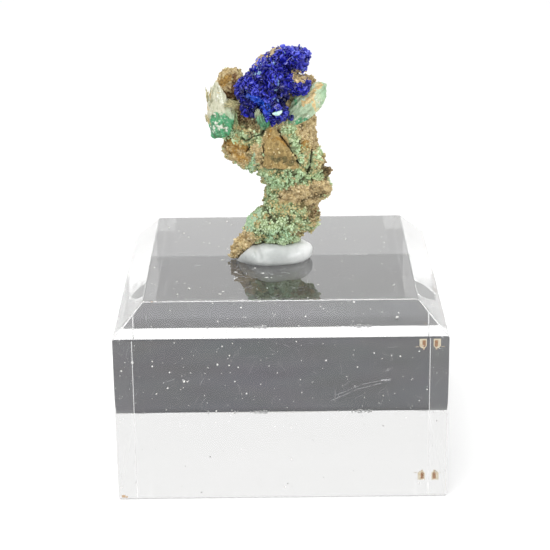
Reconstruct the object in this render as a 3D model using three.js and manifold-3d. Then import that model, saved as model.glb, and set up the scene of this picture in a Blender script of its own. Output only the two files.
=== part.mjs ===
// Azurite and malachite specimen stuck on a clear bevelled display block.
// Millimetres, +Z up, origin in the middle of the block's underside, front towards -Y.
import * as THREE from 'three';
import { mergeVertices } from 'three/addons/utils/BufferGeometryUtils.js';
import Module from 'manifold-3d';

const wasm = await Module();
wasm.setup();

// Display block: a square slab, its top edges bevelled at 45 degrees.
const BLOCK_SIDE = 63.5;
const BLOCK_HEIGHT = 38.6;
const BEVEL = 5.6;

// Gap kept between pieces that lie against each other, and how fine the pieces are faceted.
const FIT_GAP = 0.3;
const STEM_SIDES = 24;
const STEM_ROWS = 28;
const LOBE_DETAIL = 3;
const BLADE_SIDES = 14;
const BLADE_ROWS = 12;

// Stem of the matrix, from the foot up. Each row gives the height above the block, the middle
// of the section in x and y, and its half width and half depth.
const STEM = [
  [3.3, -0.1, -1.3, 3.8, 2.3],
  [5.4, -0.6, -1.6, 5.6, 3.8],
  [8.0, 0.4, -1.6, 7.0, 4.9],
  [11.0, 1.8, -1.4, 5.8, 5.0],
  [13.6, 3.3, -1.2, 5.9, 4.9],
  [16.6, 3.0, -1.2, 6.8, 5.1],
  [20.0, 1.0, -1.4, 7.8, 5.4],
  [24.0, -1.2, -1.6, 8.7, 5.7],
  [28.0, -1.0, -1.4, 8.5, 5.5],
  [32.0, -1.0, -0.6, 7.8, 4.7],
  [36.0, -0.8, 0.4, 6.8, 3.6],
  [39.2, 0.6, 0.8, 4.6, 2.6],
  [40.8, 1.4, 0.8, 2.2, 1.4],
];
const STEM_ROUGHNESS = 0.09;

// Lobes are rounded lumps: middle (x, y, height above the block), half sizes, turn about Y in
// degrees.
const MATRIX_LOBES = [
  { at: [-7.5, -1.9, 3.05], half: [3.9, 2.0, 1.6], turn: -50 }, // pointed foot
  { at: [-3.8, -2.0, 7.0], half: [3.8, 3.4, 2.8], turn: -50 }, // above the foot
  { at: [5.6, -1.8, 8.6], half: [2.3, 3.4, 2.9], turn: 0 }, // lower right
  { at: [7.4, -1.4, 15.9], half: [3.2, 3.8, 3.6], turn: 15 }, // right shoulder
  { at: [6.0, -2.2, 20.6], half: [3.2, 4.0, 3.4], turn: -25 }, // above the shoulder
  { at: [-7.2, -2.2, 22.6], half: [3.9, 3.6, 2.7], turn: 30 }, // left shelf
  { at: [-8.2, -0.6, 28.6], half: [3.4, 4.0, 4.4], turn: 10 }, // behind the left blade
  { at: [-8.9, 0.2, 35.4], half: [3.1, 3.0, 3.2], turn: 20 }, // knob
  { at: [4.6, -0.6, 34.8], half: [2.9, 2.9, 4.2], turn: 10 }, // behind the right blade
];

const AZURITE_LOBES = [
  { at: [3.3, -2.5, 41.0], half: [2.8, 3.0, 2.7], turn: 0 }, // top right
  { at: [0.5, -2.7, 40.9], half: [2.8, 3.1, 2.7], turn: -20 }, // top
  { at: [-2.7, -3.2, 38.4], half: [3.8, 3.3, 2.5], turn: -45 }, // left shoulder
  { at: [-4.9, -4.0, 35.2], half: [3.0, 3.3, 4.0], turn: 0 }, // left
  { at: [-0.6, -4.8, 37.0], half: [4.0, 3.6, 4.2], turn: 0 }, // middle
  { at: [3.9, -4.6, 36.6], half: [2.4, 2.4, 2.3], turn: 0 }, // right
  { at: [-0.8, -6.0, 32.2], half: [2.7, 2.5, 3.2], turn: -12 }, // lowest
  { at: [-5.0, -5.0, 32.6], half: [2.1, 2.2, 2.4], turn: 0 }, // lower left
  { at: [1.6, 0.9, 39.5], half: [3.4, 2.6, 2.8], turn: -15 }, // over the top, at the back
];
const AZURITE_ROUGHNESS = 0.12;

const TUFT_LOBES = [
  { at: [-3.6, -6.6, 30.6], half: [1.4, 1.3, 2.0], turn: -14 },
  { at: [-2.6, -6.7, 29.4], half: [1.2, 1.2, 1.6], turn: -22 },
];

// Blades are flattened columns: rows as in STEM.
const LEFT_BLADE = [
  [26.0, -11.4, -4.2, 1.8, 1.1],
  [27.2, -11.2, -4.2, 2.6, 1.7],
  [29.4, -11.0, -4.0, 2.9, 1.9],
  [32.0, -11.0, -3.8, 2.7, 1.8],
  [34.6, -11.8, -3.6, 2.0, 1.4],
  [36.8, -12.4, -3.4, 0.8, 0.8],
];
const RIGHT_BLADE = [
  [28.6, 3.4, -5.0, 1.4, 1.0],
  [29.8, 4.3, -4.9, 3.0, 1.7],
  [31.8, 5.3, -4.6, 3.9, 2.0],
  [33.8, 6.2, -4.0, 3.4, 1.9],
  [35.8, 7.6, -3.6, 2.1, 1.4],
  [37.2, 8.2, -3.4, 1.2, 0.8],
];
const BLADE_ROUGHNESS = 0.08;

// Putty: a flattened lump that is pressed flat on the block.
const PUTTY = { at: [-1.5, -1.7, 1.1], half: [7.9, 4.9, 3.5], turn: -4 };
const PUTTY_ROUGHNESS = 0.05;
const PUTTY_DETAIL = 5;

const LOOKS = {
  display_block: { color: 0xd9dcdd, roughness: 0.05, metalness: 0 },
  mounting_putty: { color: 0xdfe1de, roughness: 0.35, metalness: 0 },
  matrix: { color: 0x93835a, roughness: 0.9, metalness: 0 },
  azurite_cluster: { color: 0x1e1f8c, roughness: 0.35, metalness: 0 },
  left_malachite_blade: { color: 0xb7cdb0, roughness: 0.6, metalness: 0 },
  right_malachite_blade: { color: 0xbfd3b2, roughness: 0.6, metalness: 0 },
  malachite_tuft: { color: 0x4f8a68, roughness: 0.7, metalness: 0 },
};

// Uneven surface: a smooth ripple between -1 and 1 that depends only on the place.
function ripple(point) {
  const broad = Math.sin(0.55 * point.x + 0.9 * point.z) + Math.sin(0.8 * point.y - 0.5 * point.z + 2);
  const fine = Math.sin(1.5 * point.x - 1.2 * point.y + 4) + Math.sin(1.7 * point.z + 0.9 * point.x + 1);
  return (broad + fine) / 4;
}

// Joins the shared corners of a closed shape and makes it a solid.
function solidFrom(shape) {
  shape.deleteAttribute('normal');
  shape.deleteAttribute('uv');
  const joined = mergeVertices(shape);
  return new wasm.Manifold(new wasm.Mesh({
    numProp: 3,
    vertProperties: new Float32Array(joined.attributes.position.array),
    triVerts: new Uint32Array(joined.index.array),
  }));
}

// Moves every corner of a shape to where `place` says its unit point goes.
function reshape(shape, place) {
  const corners = shape.attributes.position;
  const unit = new THREE.Vector3();
  for (let i = 0; i < corners.count; i += 1) {
    const moved = place(unit.fromBufferAttribute(corners, i));
    corners.setXYZ(i, moved.x, moved.y, moved.z);
  }
  return shape;
}

// A rounded lump; `grow` makes it bigger all round without changing its surface pattern.
function lobe({ at, half, turn }, roughness, detail, grow) {
  const middle = new THREE.Vector3(at[0], at[1], at[2] + BLOCK_HEIGHT);
  const halves = new THREE.Vector3(...half);
  const lean = new THREE.Matrix4().makeRotationY(THREE.MathUtils.degToRad(turn));
  const shape = reshape(new THREE.IcosahedronGeometry(1, detail), (unit) => {
    const plain = unit.clone().multiply(halves).applyMatrix4(lean).add(middle);
    const swell = 1 + roughness * ripple(plain);
    const skin = unit.clone().multiplyScalar(grow);
    return unit.clone().multiply(halves).multiplyScalar(swell).add(skin).applyMatrix4(lean).add(middle);
  });
  return solidFrom(shape);
}

// A column whose sections follow the rows of a table.
function column(rows, sides, steps, roughness, grow) {
  const middles = new THREE.CatmullRomCurve3(
    rows.map(([height, x, y]) => new THREE.Vector3(x, y, height + BLOCK_HEIGHT)),
  );
  const halves = new THREE.CatmullRomCurve3(
    rows.map((row) => new THREE.Vector3(row[3], row[4], 0)),
  );
  const shape = reshape(new THREE.CylinderGeometry(1, 1, 1, sides, steps), (unit) => {
    const along = unit.y + 0.5;
    const middle = middles.getPoint(along);
    const half = halves.getPoint(along);
    const edge = middle.clone().add(new THREE.Vector3(unit.x * half.x, -unit.z * half.y, 0));
    const swell = 1 + roughness * ripple(edge);
    const end = along === 0 ? -1 : Number(along === 1);
    return middle.add(new THREE.Vector3(
      unit.x * (half.x * swell + grow),
      -unit.z * (half.y * swell + grow),
      end * grow,
    ));
  });
  return solidFrom(shape);
}

function joinLobes(lobes, roughness, detail, grow) {
  const solids = lobes.map((one) => lobe(one, roughness, detail, grow));
  return solids.reduce((whole, next) => whole.add(next));
}

function matrix(grow) {
  const stem = column(STEM, STEM_SIDES, STEM_ROWS, STEM_ROUGHNESS, grow);
  return stem.add(joinLobes(MATRIX_LOBES, STEM_ROUGHNESS, LOBE_DETAIL, grow));
}

// The block with its bevelled top: the upper corners of a box are drawn in.
function displayBlock() {
  const shape = new THREE.BoxGeometry(1, 1, 1, 1, 1, 2);
  const sideAt = { '-1': BLOCK_SIDE, 0: BLOCK_SIDE, 1: BLOCK_SIDE - 2 * BEVEL };
  const heightAt = { '-1': 0, 0: BLOCK_HEIGHT - BEVEL, 1: BLOCK_HEIGHT };
  return solidFrom(reshape(shape, (unit) => {
    const level = Math.sign(unit.z);
    return new THREE.Vector3(unit.x * sideAt[level], unit.y * sideAt[level], heightAt[level]);
  }));
}

// Everything below the block's top face: it cuts flat what rests on the block.
function belowTop() {
  const slab = new THREE.BoxGeometry(BLOCK_SIDE, BLOCK_SIDE, BLOCK_HEIGHT);
  slab.translate(0, 0, BLOCK_HEIGHT / 2);
  return solidFrom(slab);
}

function azurite(grow) {
  return joinLobes(AZURITE_LOBES, AZURITE_ROUGHNESS, LOBE_DETAIL, grow);
}

function blade(rows, grow) {
  return column(rows, BLADE_SIDES, BLADE_ROWS, BLADE_ROUGHNESS, grow);
}

function tuft(grow) {
  return joinLobes(TUFT_LOBES, AZURITE_ROUGHNESS, LOBE_DETAIL, grow);
}

function node(name, solid) {
  const { vertProperties, triVerts } = solid.getMesh();
  const geometry = new THREE.BufferGeometry();
  geometry.setAttribute('position', new THREE.BufferAttribute(vertProperties, 3));
  geometry.setIndex(new THREE.BufferAttribute(triVerts, 1));
  geometry.computeVertexNormals();
  const mesh = new THREE.Mesh(geometry, new THREE.MeshStandardMaterial(LOOKS[name]));
  mesh.name = name;
  return mesh;
}

const grownMatrix = matrix(FIT_GAP);
const grownAzurite = azurite(FIT_GAP);
const specimen = new THREE.Group();
specimen.add(
  node('display_block', displayBlock()),
  node('mounting_putty', lobe(PUTTY, PUTTY_ROUGHNESS, PUTTY_DETAIL, 0)
    .subtract(belowTop()).subtract(grownMatrix)),
  node('matrix', matrix(0).subtract(belowTop())),
  node('azurite_cluster', azurite(0).subtract(grownMatrix)),
  node('left_malachite_blade', blade(LEFT_BLADE, 0).subtract(grownMatrix).subtract(grownAzurite)),
  node('right_malachite_blade', blade(RIGHT_BLADE, 0).subtract(grownMatrix).subtract(grownAzurite)),
  node('malachite_tuft', tuft(0).subtract(grownMatrix).subtract(grownAzurite)),
);

export default specimen;
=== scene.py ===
import itertools
import math

import bmesh
import bpy
import numpy as np
from mathutils import Matrix, Vector, noise


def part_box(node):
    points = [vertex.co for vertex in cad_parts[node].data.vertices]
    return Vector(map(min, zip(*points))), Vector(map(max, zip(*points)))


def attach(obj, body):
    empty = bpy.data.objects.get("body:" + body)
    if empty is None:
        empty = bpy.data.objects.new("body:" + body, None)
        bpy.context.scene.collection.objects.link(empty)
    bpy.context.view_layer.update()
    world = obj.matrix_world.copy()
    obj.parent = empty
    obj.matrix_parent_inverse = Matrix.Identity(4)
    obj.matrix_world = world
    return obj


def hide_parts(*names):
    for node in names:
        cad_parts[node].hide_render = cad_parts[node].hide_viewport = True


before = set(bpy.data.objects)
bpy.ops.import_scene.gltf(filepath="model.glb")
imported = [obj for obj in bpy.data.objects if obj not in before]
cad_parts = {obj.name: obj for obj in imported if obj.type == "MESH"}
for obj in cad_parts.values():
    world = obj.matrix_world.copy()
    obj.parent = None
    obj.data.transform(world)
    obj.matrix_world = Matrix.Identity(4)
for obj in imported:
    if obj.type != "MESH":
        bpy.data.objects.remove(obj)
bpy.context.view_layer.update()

noise.seed_set(5)                   # without it, noise vectors differ from run to run

# ---------------------------------------------------------------- sizes, in metres
MM = 0.001
BLOCK_LOW, BLOCK_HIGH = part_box("display_block")
TOP = BLOCK_HIGH.z                  # the block's top face, which the specimen stands on
STONE_TOP = TOP / MM                # the same, in millimetres
BLOCK_BEVEL = 5.6 * MM              # 45 degree bevel round the top
EDGE_ROUND = 0.22 * MM              # polished edges
ROCK_CELL = 0.2 * MM                # how finely the stem and the azurite are divided
BLADE_CELL = 0.12 * MM
CHIP_CELL = 0.06 * MM
PUTTY_CELL = 0.25 * MM
SUNK = 0.05                         # how far, in millimetres, the foot and the putty may sink into the block

WHOLE_TURN = 2 * math.pi
WHITE = (1, 1, 1, 1)
BLACK = (0, 0, 0, 1)

# ---------------------------------------------------------------- camera and stage
CAMERA_AIM = Vector((-1.05, 0.0, 34.4)) * MM
CAMERA_DISTANCE = 365.8 * MM
CAMERA_AZIMUTH = math.radians(0.21)
CAMERA_ELEVATION = math.radians(19.63)
CAMERA_ROLL = math.radians(-0.70)
CAMERA_LENS = 117.2
CAMERA_SENSOR = 36
LAMP_AIM = Vector((0, 0, TOP + 20 * MM))
FLOOR_HALF = 3.0
FLOOR_DROP = 0.3 * MM               # air under the block, so that its underside reflects
CARD_DROP = 0.15 * MM
CARD_HALF = 75 * MM
# The card glows at these painted greys; the haze and trapped greys are painted glow added to light mirrored
# inside the block.
CARD_GLOW_GREY = (0.045, 0.045, 0.045, 1)
CARD_RIM_GLOW_GREY = (0.105, 0.105, 0.116, 1)
HAZE_GLOW_GREY = (0.17, 0.17, 0.17, 1)
TRAPPED_GLOW_GREY = (0.9, 0.9, 0.89, 1)
TRAPPED = (9.0, 20.0)               # mirror turns from which light counts as trapped in the block
MOST_BOUNCES = 80
MOST_TURNS = 72


def link_object(name, data):
    piece = bpy.data.objects.new(name, data)
    bpy.context.scene.collection.objects.link(piece)
    return piece


def facing(place, direction, roll=0.0):
    """The pose of a camera or lamp at a place, looking along a direction."""
    turned = direction.to_track_quat("-Z", "Y").to_matrix().to_4x4() @ Matrix.Rotation(roll, 4, "Z")
    return Matrix.Translation(place) @ turned


def make_camera():
    data = bpy.data.cameras.new("camera")
    data.lens = CAMERA_LENS
    data.sensor_width = CAMERA_SENSOR
    data.clip_start = 0.01
    data.clip_end = 20
    level = math.cos(CAMERA_ELEVATION)
    forward = Vector((
        -math.sin(CAMERA_AZIMUTH) * level,
        math.cos(CAMERA_AZIMUTH) * level,
        -math.sin(CAMERA_ELEVATION),
    ))
    camera = link_object("camera", data)
    camera.matrix_world = facing(CAMERA_AIM - forward * CAMERA_DISTANCE, forward, CAMERA_ROLL)
    bpy.context.scene.camera = camera


def flat_square(name, half, height):
    bm = bmesh.new()
    bmesh.ops.create_grid(bm, x_segments=1, y_segments=1, size=half)
    bmesh.ops.translate(bm, verts=bm.verts, vec=(0, 0, height))
    mesh = bpy.data.meshes.new(name)
    bm.to_mesh(mesh)
    bm.free()
    piece = link_object(name, mesh)
    return piece


# ---------------------------------------------------------------- shading tools
def colour(code):
    """A display colour such as "a08c5a" as the linear red, green, blue and alpha that shaders use."""
    parts = [int(code[i:i + 2], 16) / 255 for i in (0, 2, 4)]
    linear = [p / 12.92 if p <= 0.04045 else ((p + 0.055) / 1.055) ** 2.4 for p in parts]
    return (*linear, 1.0)


def new_material(name, roughness, **constants):
    """A material, its node tree and its shader, with constants set on the shader's own sockets."""
    material = bpy.data.materials.new(name)
    material.use_nodes = True
    shader = material.node_tree.nodes["Principled BSDF"]
    shader.inputs["Roughness"].default_value = roughness
    for label, value in constants.items():
        shader.inputs[label.replace("_", " ")].default_value = value
    return material, material.node_tree, shader


def wire(tree, target, value):
    """Join a value to a socket: a link from another socket, or a plain number or colour."""
    if isinstance(value, bpy.types.NodeSocket):
        tree.links.new(value, target)
    else:
        target.default_value = value


def maths(tree, operation, first, second):
    node = tree.nodes.new("ShaderNodeMath")
    node.operation = operation
    wire(tree, node.inputs[0], first)
    wire(tree, node.inputs[1], second)
    return node.outputs[0]


def plus(tree, first, second):
    return maths(tree, "ADD", first, second)


def times(tree, first, second):
    return maths(tree, "MULTIPLY", first, second)


def weighed(tree, *parts):
    """The sum of some values, each times its weight."""
    total = 0.0
    for value, weight in parts:
        total = plus(tree, total, times(tree, value, weight))
    return total


def vector_maths(tree, operation, first, second=None):
    node = tree.nodes.new("ShaderNodeVectorMath")
    node.operation = operation
    wire(tree, node.inputs[0], first)
    if second is not None:
        wire(tree, node.inputs[1], second)
    return node.outputs[0]


def spread(tree, value, low, high, start=0.0, end=1.0):
    """The value's way from low to high, held between them, as a number from start to end."""
    node = tree.nodes.new("ShaderNodeMapRange")
    wire(tree, node.inputs["Value"], value)
    wire(tree, node.inputs["From Min"], low)
    wire(tree, node.inputs["From Max"], high)
    wire(tree, node.inputs["To Min"], start)
    wire(tree, node.inputs["To Max"], end)
    return node.outputs["Result"]


def blend(tree, factor, first, second, kind="MIX"):
    node = tree.nodes.new("ShaderNodeMix")
    node.data_type = "RGBA"
    node.blend_type = kind
    wire(tree, node.inputs["Factor"], factor)
    wire(tree, node.inputs["A"], first)
    wire(tree, node.inputs["B"], second)
    return node.outputs["Result"]


def object_place(tree):
    return tree.nodes.new("ShaderNodeTexCoord").outputs["Object"]


def split_xyz(tree, vector):
    node = tree.nodes.new("ShaderNodeSeparateXYZ")
    tree.links.new(vector, node.inputs[0])
    return node.outputs


def clouds(tree, place, scale, detail=2, roughness=0.5):
    node = tree.nodes.new("ShaderNodeTexNoise")
    tree.links.new(place, node.inputs["Vector"])
    wire(tree, node.inputs["Scale"], scale)
    node.inputs["Detail"].default_value = detail
    node.inputs["Roughness"].default_value = roughness
    return node.outputs


# ---------------------------------------------------------------- stage
def card_surface():
    """Nearly black grey, with faint blotches, painted in as a glow rather than lit; paler where the block
    mirrors it.
    """
    material, tree, shader = new_material(
        "dark card", 0.5, Base_Color=BLACK, Specular_IOR_Level=0, Emission_Strength=1
    )
    material.cycles.emission_sampling = "NONE"
    place = object_place(tree)
    sides = split_xyz(tree, vector_maths(tree, "ABSOLUTE", place))
    reach = maths(tree, "MAXIMUM", sides["X"], sides["Y"])
    beyond = spread(tree, reach, BLOCK_HIGH.x - 1 * MM, BLOCK_HIGH.x + 3 * MM)
    greys = blend(tree, beyond, CARD_GLOW_GREY, CARD_RIM_GLOW_GREY)
    blotch = clouds(tree, place, 45)["Color"]
    streaks = clouds(tree, vector_maths(tree, "MULTIPLY", place, (0.5, 1, 1)), 80, 2, 0.6)["Fac"]
    tinted = blend(tree, 0.45, greys, blend(tree, 0.3, streaks, blotch), "OVERLAY")
    # Light that has first been mirrored inside the block gets a painted glow, in place of the light that
    # haze on its faces would add.
    path = tree.nodes.new("ShaderNodeLightPath").outputs
    mirrored = maths(tree, "MINIMUM", path["Glossy Depth"], 1.0)
    haze_glow_amount = times(tree, mirrored, spread(tree, beyond, 0.0, 1.0, 1.0, 0.12))
    with_haze_glow = blend(tree, haze_glow_amount, tinted, HAZE_GLOW_GREY, "ADD")
    # Light trapped for many turns gets a pale painted glow.
    trapped = spread(tree, path["Glossy Depth"], *TRAPPED)
    tree.links.new(blend(tree, trapped, with_haze_glow, TRAPPED_GLOW_GREY), shader.inputs["Emission Color"])
    return material


def studio_world():
    """White seen directly; a bright panel behind, a dim room in front, an even glow for matte surfaces."""
    world = bpy.data.worlds.new("studio")
    world.use_nodes = True
    bpy.context.scene.world = world
    tree = world.node_tree
    sky = tree.nodes["Background"]
    sky.inputs["Color"].default_value = WHITE
    path = tree.nodes.new("ShaderNodeLightPath").outputs
    way = split_xyz(tree, tree.nodes.new("ShaderNodeTexCoord").outputs["Generated"])
    height = spread(tree, way["Z"], 0.42, 0.75, 0.86, 1.08)
    low = spread(tree, way["Z"], 0.55, 0.40)
    front = times(tree, low, spread(tree, way["Y"], -0.2, -0.6))
    behind = times(tree, low, spread(tree, way["Y"], 0.2, 0.6))
    room = times(tree, height, spread(tree, front, 0.0, 1.0, 1.0, 0.4))
    outside = spread(tree, path["Transmission Depth"], 0.0, 1.0, 1.0, 0.0)
    first_mirror = times(tree, path["Is Glossy Ray"], outside)
    panel = times(tree, times(tree, first_mirror, behind), 0.72)
    trapped = spread(tree, path["Glossy Depth"], *TRAPPED, 1.0, 2.0)
    lit = times(tree, plus(tree, room, panel), trapped)
    level = spread(tree, path["Is Diffuse Ray"], 0.0, 1.0, lit, 0.75)
    seen = maths(tree, "MAXIMUM", path["Is Camera Ray"], level)
    tree.links.new(seen, sky.inputs["Strength"])


def make_stage():
    floor = flat_square("floor", FLOOR_HALF, -FLOOR_DROP)
    paper = new_material(
        "floor paper", 0.9, Base_Color=(0.9, 0.9, 0.9, 1), Emission_Color=WHITE, Emission_Strength=0.14
    )
    floor.data.materials.append(paper[0])

    # A dark card round and under the block, which only light that has come through the block meets; it glows
    # with painted greys instead of being lit.
    card = flat_square("dark_card", CARD_HALF, -CARD_DROP)
    card.visible_camera = False
    card.visible_diffuse = False
    card.visible_glossy = False
    card.visible_shadow = False
    card.visible_volume_scatter = False
    card.data.materials.append(card_surface())

    studio_world()
    scene = bpy.context.scene
    scene.view_settings.view_transform = "Standard"
    scene.cycles.max_bounces = MOST_BOUNCES
    scene.cycles.glossy_bounces = MOST_TURNS
    scene.cycles.transmission_bounces = MOST_TURNS


def soft_light(name, place, size, power):
    data = bpy.data.lights.new(name, "AREA")
    data.shape = "DISK"
    data.size = size
    data.energy = power
    lamp = link_object(name, data)
    lamp.visible_transmission = False
    lamp.matrix_world = facing(place, LAMP_AIM - Vector(place))


def make_lights():
    soft_light("overhead softbox", (-0.12, -0.27, 0.70), 0.6, 3.0)
    soft_light("low fill", (0.60, -0.70, 0.10), 0.5, 3.2)
    soft_light("front softbox", (0.0, -1.05, 0.42), 0.5, 0.3)


# ---------------------------------------------------------------- the clear block
def finish_piece(piece, material, node, slot):
    piece.data.materials.append(material)
    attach(piece, "root")
    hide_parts(node)


def clear_acrylic():
    """Clear, with a trace of haze and a faint painted glow, which only show where light is mirrored many
    times before it leaves.
    """
    return new_material(
        "clear acrylic", 0.0, Base_Color=(0.995, 0.995, 0.988, 1), IOR=1.49, Transmission_Weight=0.99,
        Emission_Color=(1, 1, 0.98, 1), Emission_Strength=0.006
    )[0]


def make_block():
    size = BLOCK_HIGH - BLOCK_LOW
    bm = bmesh.new()
    bmesh.ops.create_cube(bm, size=1, matrix=Matrix.Diagonal((*size, 1)))
    bmesh.ops.translate(bm, verts=bm.verts, vec=(BLOCK_LOW + BLOCK_HIGH) / 2)
    rim = [e for e in bm.edges if all(v.co.z > TOP - EDGE_ROUND for v in e.verts)]
    bmesh.ops.bevel(bm, geom=rim, offset=BLOCK_BEVEL, affect="EDGES", segments=1, profile=0.5, material=-1)
    flats = len(bm.faces)
    bmesh.ops.bevel(
        bm, geom=list(bm.edges), offset=EDGE_ROUND, affect="EDGES", segments=4, profile=0.5, material=-1
    )
    bmesh.ops.recalc_face_normals(bm, faces=bm.faces)
    by_area = sorted(bm.faces, key=lambda f: -f.calc_area())
    for n, face in enumerate(by_area):
        face.smooth = n >= flats
    mesh = bpy.data.meshes.new("clear_block")
    bm.to_mesh(mesh)
    bm.free()
    finish_piece(link_object("clear_block", mesh), clear_acrylic(), "display_block", "clear_acrylic")


# ---------------------------------------------------------------- shaping tools
def merged_copy(node):
    """A CAD node's shape as a bmesh with its shared corners merged."""
    bm = bmesh.new()
    bm.from_mesh(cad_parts[node].data)
    bmesh.ops.remove_doubles(bm, verts=bm.verts, dist=1e-6)
    return bm


def even_skin(name, bm, cell, rounds=2):
    """Turns a closed bmesh into an object whose skin is evenly divided into cells, then smoothed."""
    rough = bpy.data.meshes.new(name)
    bm.to_mesh(rough)
    bm.free()
    piece = link_object(name, rough)
    even = piece.modifiers.new("even cells", "REMESH")
    even.mode = "VOXEL"
    even.voxel_size = cell
    seen = piece.evaluated_get(bpy.context.evaluated_depsgraph_get())
    mesh = bpy.data.meshes.new_from_object(seen)
    piece.modifiers.clear()
    piece.data = mesh
    bm = bmesh.new()
    bm.from_mesh(mesh)
    for _ in range(rounds):
        bmesh.ops.smooth_vert(
            bm, verts=bm.verts, factor=0.5, use_axis_x=True, use_axis_y=True, use_axis_z=True
        )
    for face in bm.faces:
        face.smooth = True
    bm.to_mesh(mesh)
    bm.free()
    return piece


def points_of(mesh):
    """The mesh's corners in millimetres."""
    flat = np.empty(len(mesh.vertices) * 3)
    mesh.vertices.foreach_get("co", flat)
    return flat.reshape(-1, 3) / MM


def normals_of(mesh):
    flat = np.empty(len(mesh.vertices) * 3)
    mesh.vertex_normals.foreach_get("vector", flat)
    return flat.reshape(-1, 3)


def height_above_block(points):
    return points[:, 2] - STONE_TOP


def move_points(mesh, points):
    mesh.vertices.foreach_set("co", (points * MM).ravel())
    mesh.update()


def attribute(mesh, name, values):
    mesh.attributes.new(name, "FLOAT", "POINT").data.foreach_set("value", np.asarray(values, dtype=float))


def soft_noise(points, size, octaves=1):
    """Smooth noise about -1 to 1, with lumps of the given size in millimetres."""
    if octaves == 1:
        return np.array([noise.noise(Vector(p)) for p in points / size])
    return np.array([noise.fractal(Vector(p), 1.0, 2.0, octaves) for p in points / size])


def ridges(points, size, octaves=4):
    """Sharp-crested noise, about -1 to 1."""
    raw = [noise.ridged_multi_fractal(Vector(p), 0.9, 2.1, octaves, 1.0, 2.0) for p in points / size]
    return np.array(raw) - 1.0


def pebbles(points, size):
    """1 at the middle of a rounded grain, 0 in the gaps between grains."""
    near = [noise.voronoi(Vector(p))[0] for p in points / size]
    return np.array([np.clip((d[1] - d[0]) * 1.6, 0, 1) for d in near])


def soft_step(values, low, high):
    part = np.clip((values - low) / (high - low), 0, 1)
    return part * part * (3 - 2 * part)


def to_line(x, h, start, end):
    """Distance of points (x, h) from the straight line between two places."""
    ax, ah = start
    along = np.array(end, dtype=float) - start
    length = max(along @ along, 1e-9)
    part = np.clip(((x - ax) * along[0] + (h - ah) * along[1]) / length, 0, 1)
    return np.hypot(x - ax - part * along[0], h - ah - part * along[1])


def painted(x, h, base, strokes, edge=0.9):
    """Strokes laid over a base value, each a soft-edged line (x, h, x, h, radius, value)."""
    value = np.full(len(x), float(base))
    for x0, h0, x1, h1, radius, amount in strokes:
        near = 1 - soft_step(to_line(x, h, (x0, h0), (x1, h1)), radius - edge, radius + edge)
        value += (amount - value) * near
    return value


def painted_on(points, base, strokes, edge=0.9):
    return painted(points[:, 0], height_above_block(points), base, strokes, edge)


# ---------------------------------------------------------------- small repeated pieces
def template(bm):
    """A small shape ready for copying: its corners, its faces and how near each corner is to the tip."""
    bmesh.ops.recalc_face_normals(bm, faces=bm.faces)
    bm.verts.index_update()
    corners = np.array([v.co for v in bm.verts])
    faces = [[v.index for v in f.verts] for f in bm.faces]
    bm.free()
    return corners, faces, np.clip(corners[:, 2] + 0.5, 0, 1)


def roughened(bm, amount, seed):
    for vert in bm.verts:
        shift = noise.noise_vector(vert.co * 2.3 + Vector((seed, 0, 0)))
        vert.co += shift * amount


def upright_edges(bm):
    return [e for e in bm.edges if abs(e.verts[0].co.z - e.verts[1].co.z) > 0.5]


def bud(seed):
    """A lumpy upright grain."""
    bm = bmesh.new()
    bmesh.ops.create_uvsphere(bm, u_segments=6, v_segments=5, radius=0.5)
    for vert in bm.verts:
        slim = 1 - 0.35 * (vert.co.z + 0.5)
        vert.co.x *= slim
        vert.co.y *= slim
    roughened(bm, 0.38, seed)
    return template(bm)


def crumb(seed):
    """A small angular grain."""
    bm = bmesh.new()
    bmesh.ops.create_icosphere(bm, subdivisions=1, radius=0.5)
    roughened(bm, 0.30, seed)
    return template(bm)


def tablet(seed):
    """A thick bladed crystal with a slanting roof and bevelled sides."""
    lean = Vector((noise.noise(Vector((seed, 1.0, 0.0))), noise.noise(Vector((seed, 2.0, 0.0))), 0)) * 0.5
    bm = bmesh.new()
    bmesh.ops.create_cube(bm, size=1)
    bmesh.ops.bevel(
        bm, geom=upright_edges(bm), offset=0.24, affect="EDGES", segments=1, profile=0.5, material=-1
    )
    roof = [v for v in bm.verts if v.co.z > 0]
    for vert in roof:
        vert.co.z += vert.co.x * lean.x + vert.co.y * lean.y
    rim = [e for e in bm.edges if all(v in roof for v in e.verts)]
    bmesh.ops.bevel(bm, geom=rim, offset=0.16, affect="EDGES", segments=1, profile=0.5, material=-1)
    return template(bm)


def shield():
    """A thin flake, flat along the top and coming to a blunt point below."""
    bm = bmesh.new()
    bmesh.ops.create_cube(bm, size=1)
    bmesh.ops.subdivide_edges(bm, edges=list(bm.edges), cuts=2, use_grid_fill=True)
    for vert in bm.verts:
        if vert.co.z < -0.4:
            vert.co.x *= 0.45
        elif vert.co.z < 0:
            vert.co.z -= 0.1
    return template(bm)


def needle(seed):
    """A thin tapering fibre with a slight bow."""
    bm = bmesh.new()
    bmesh.ops.create_cone(bm, cap_ends=True, segments=5, radius1=0.5, radius2=0.12, depth=1)
    bmesh.ops.subdivide_edges(bm, edges=upright_edges(bm), cuts=2)
    for vert in bm.verts:
        vert.co.x += 0.5 * math.sin(seed) * (vert.co.z + 0.5) ** 2
    return template(bm)


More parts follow.
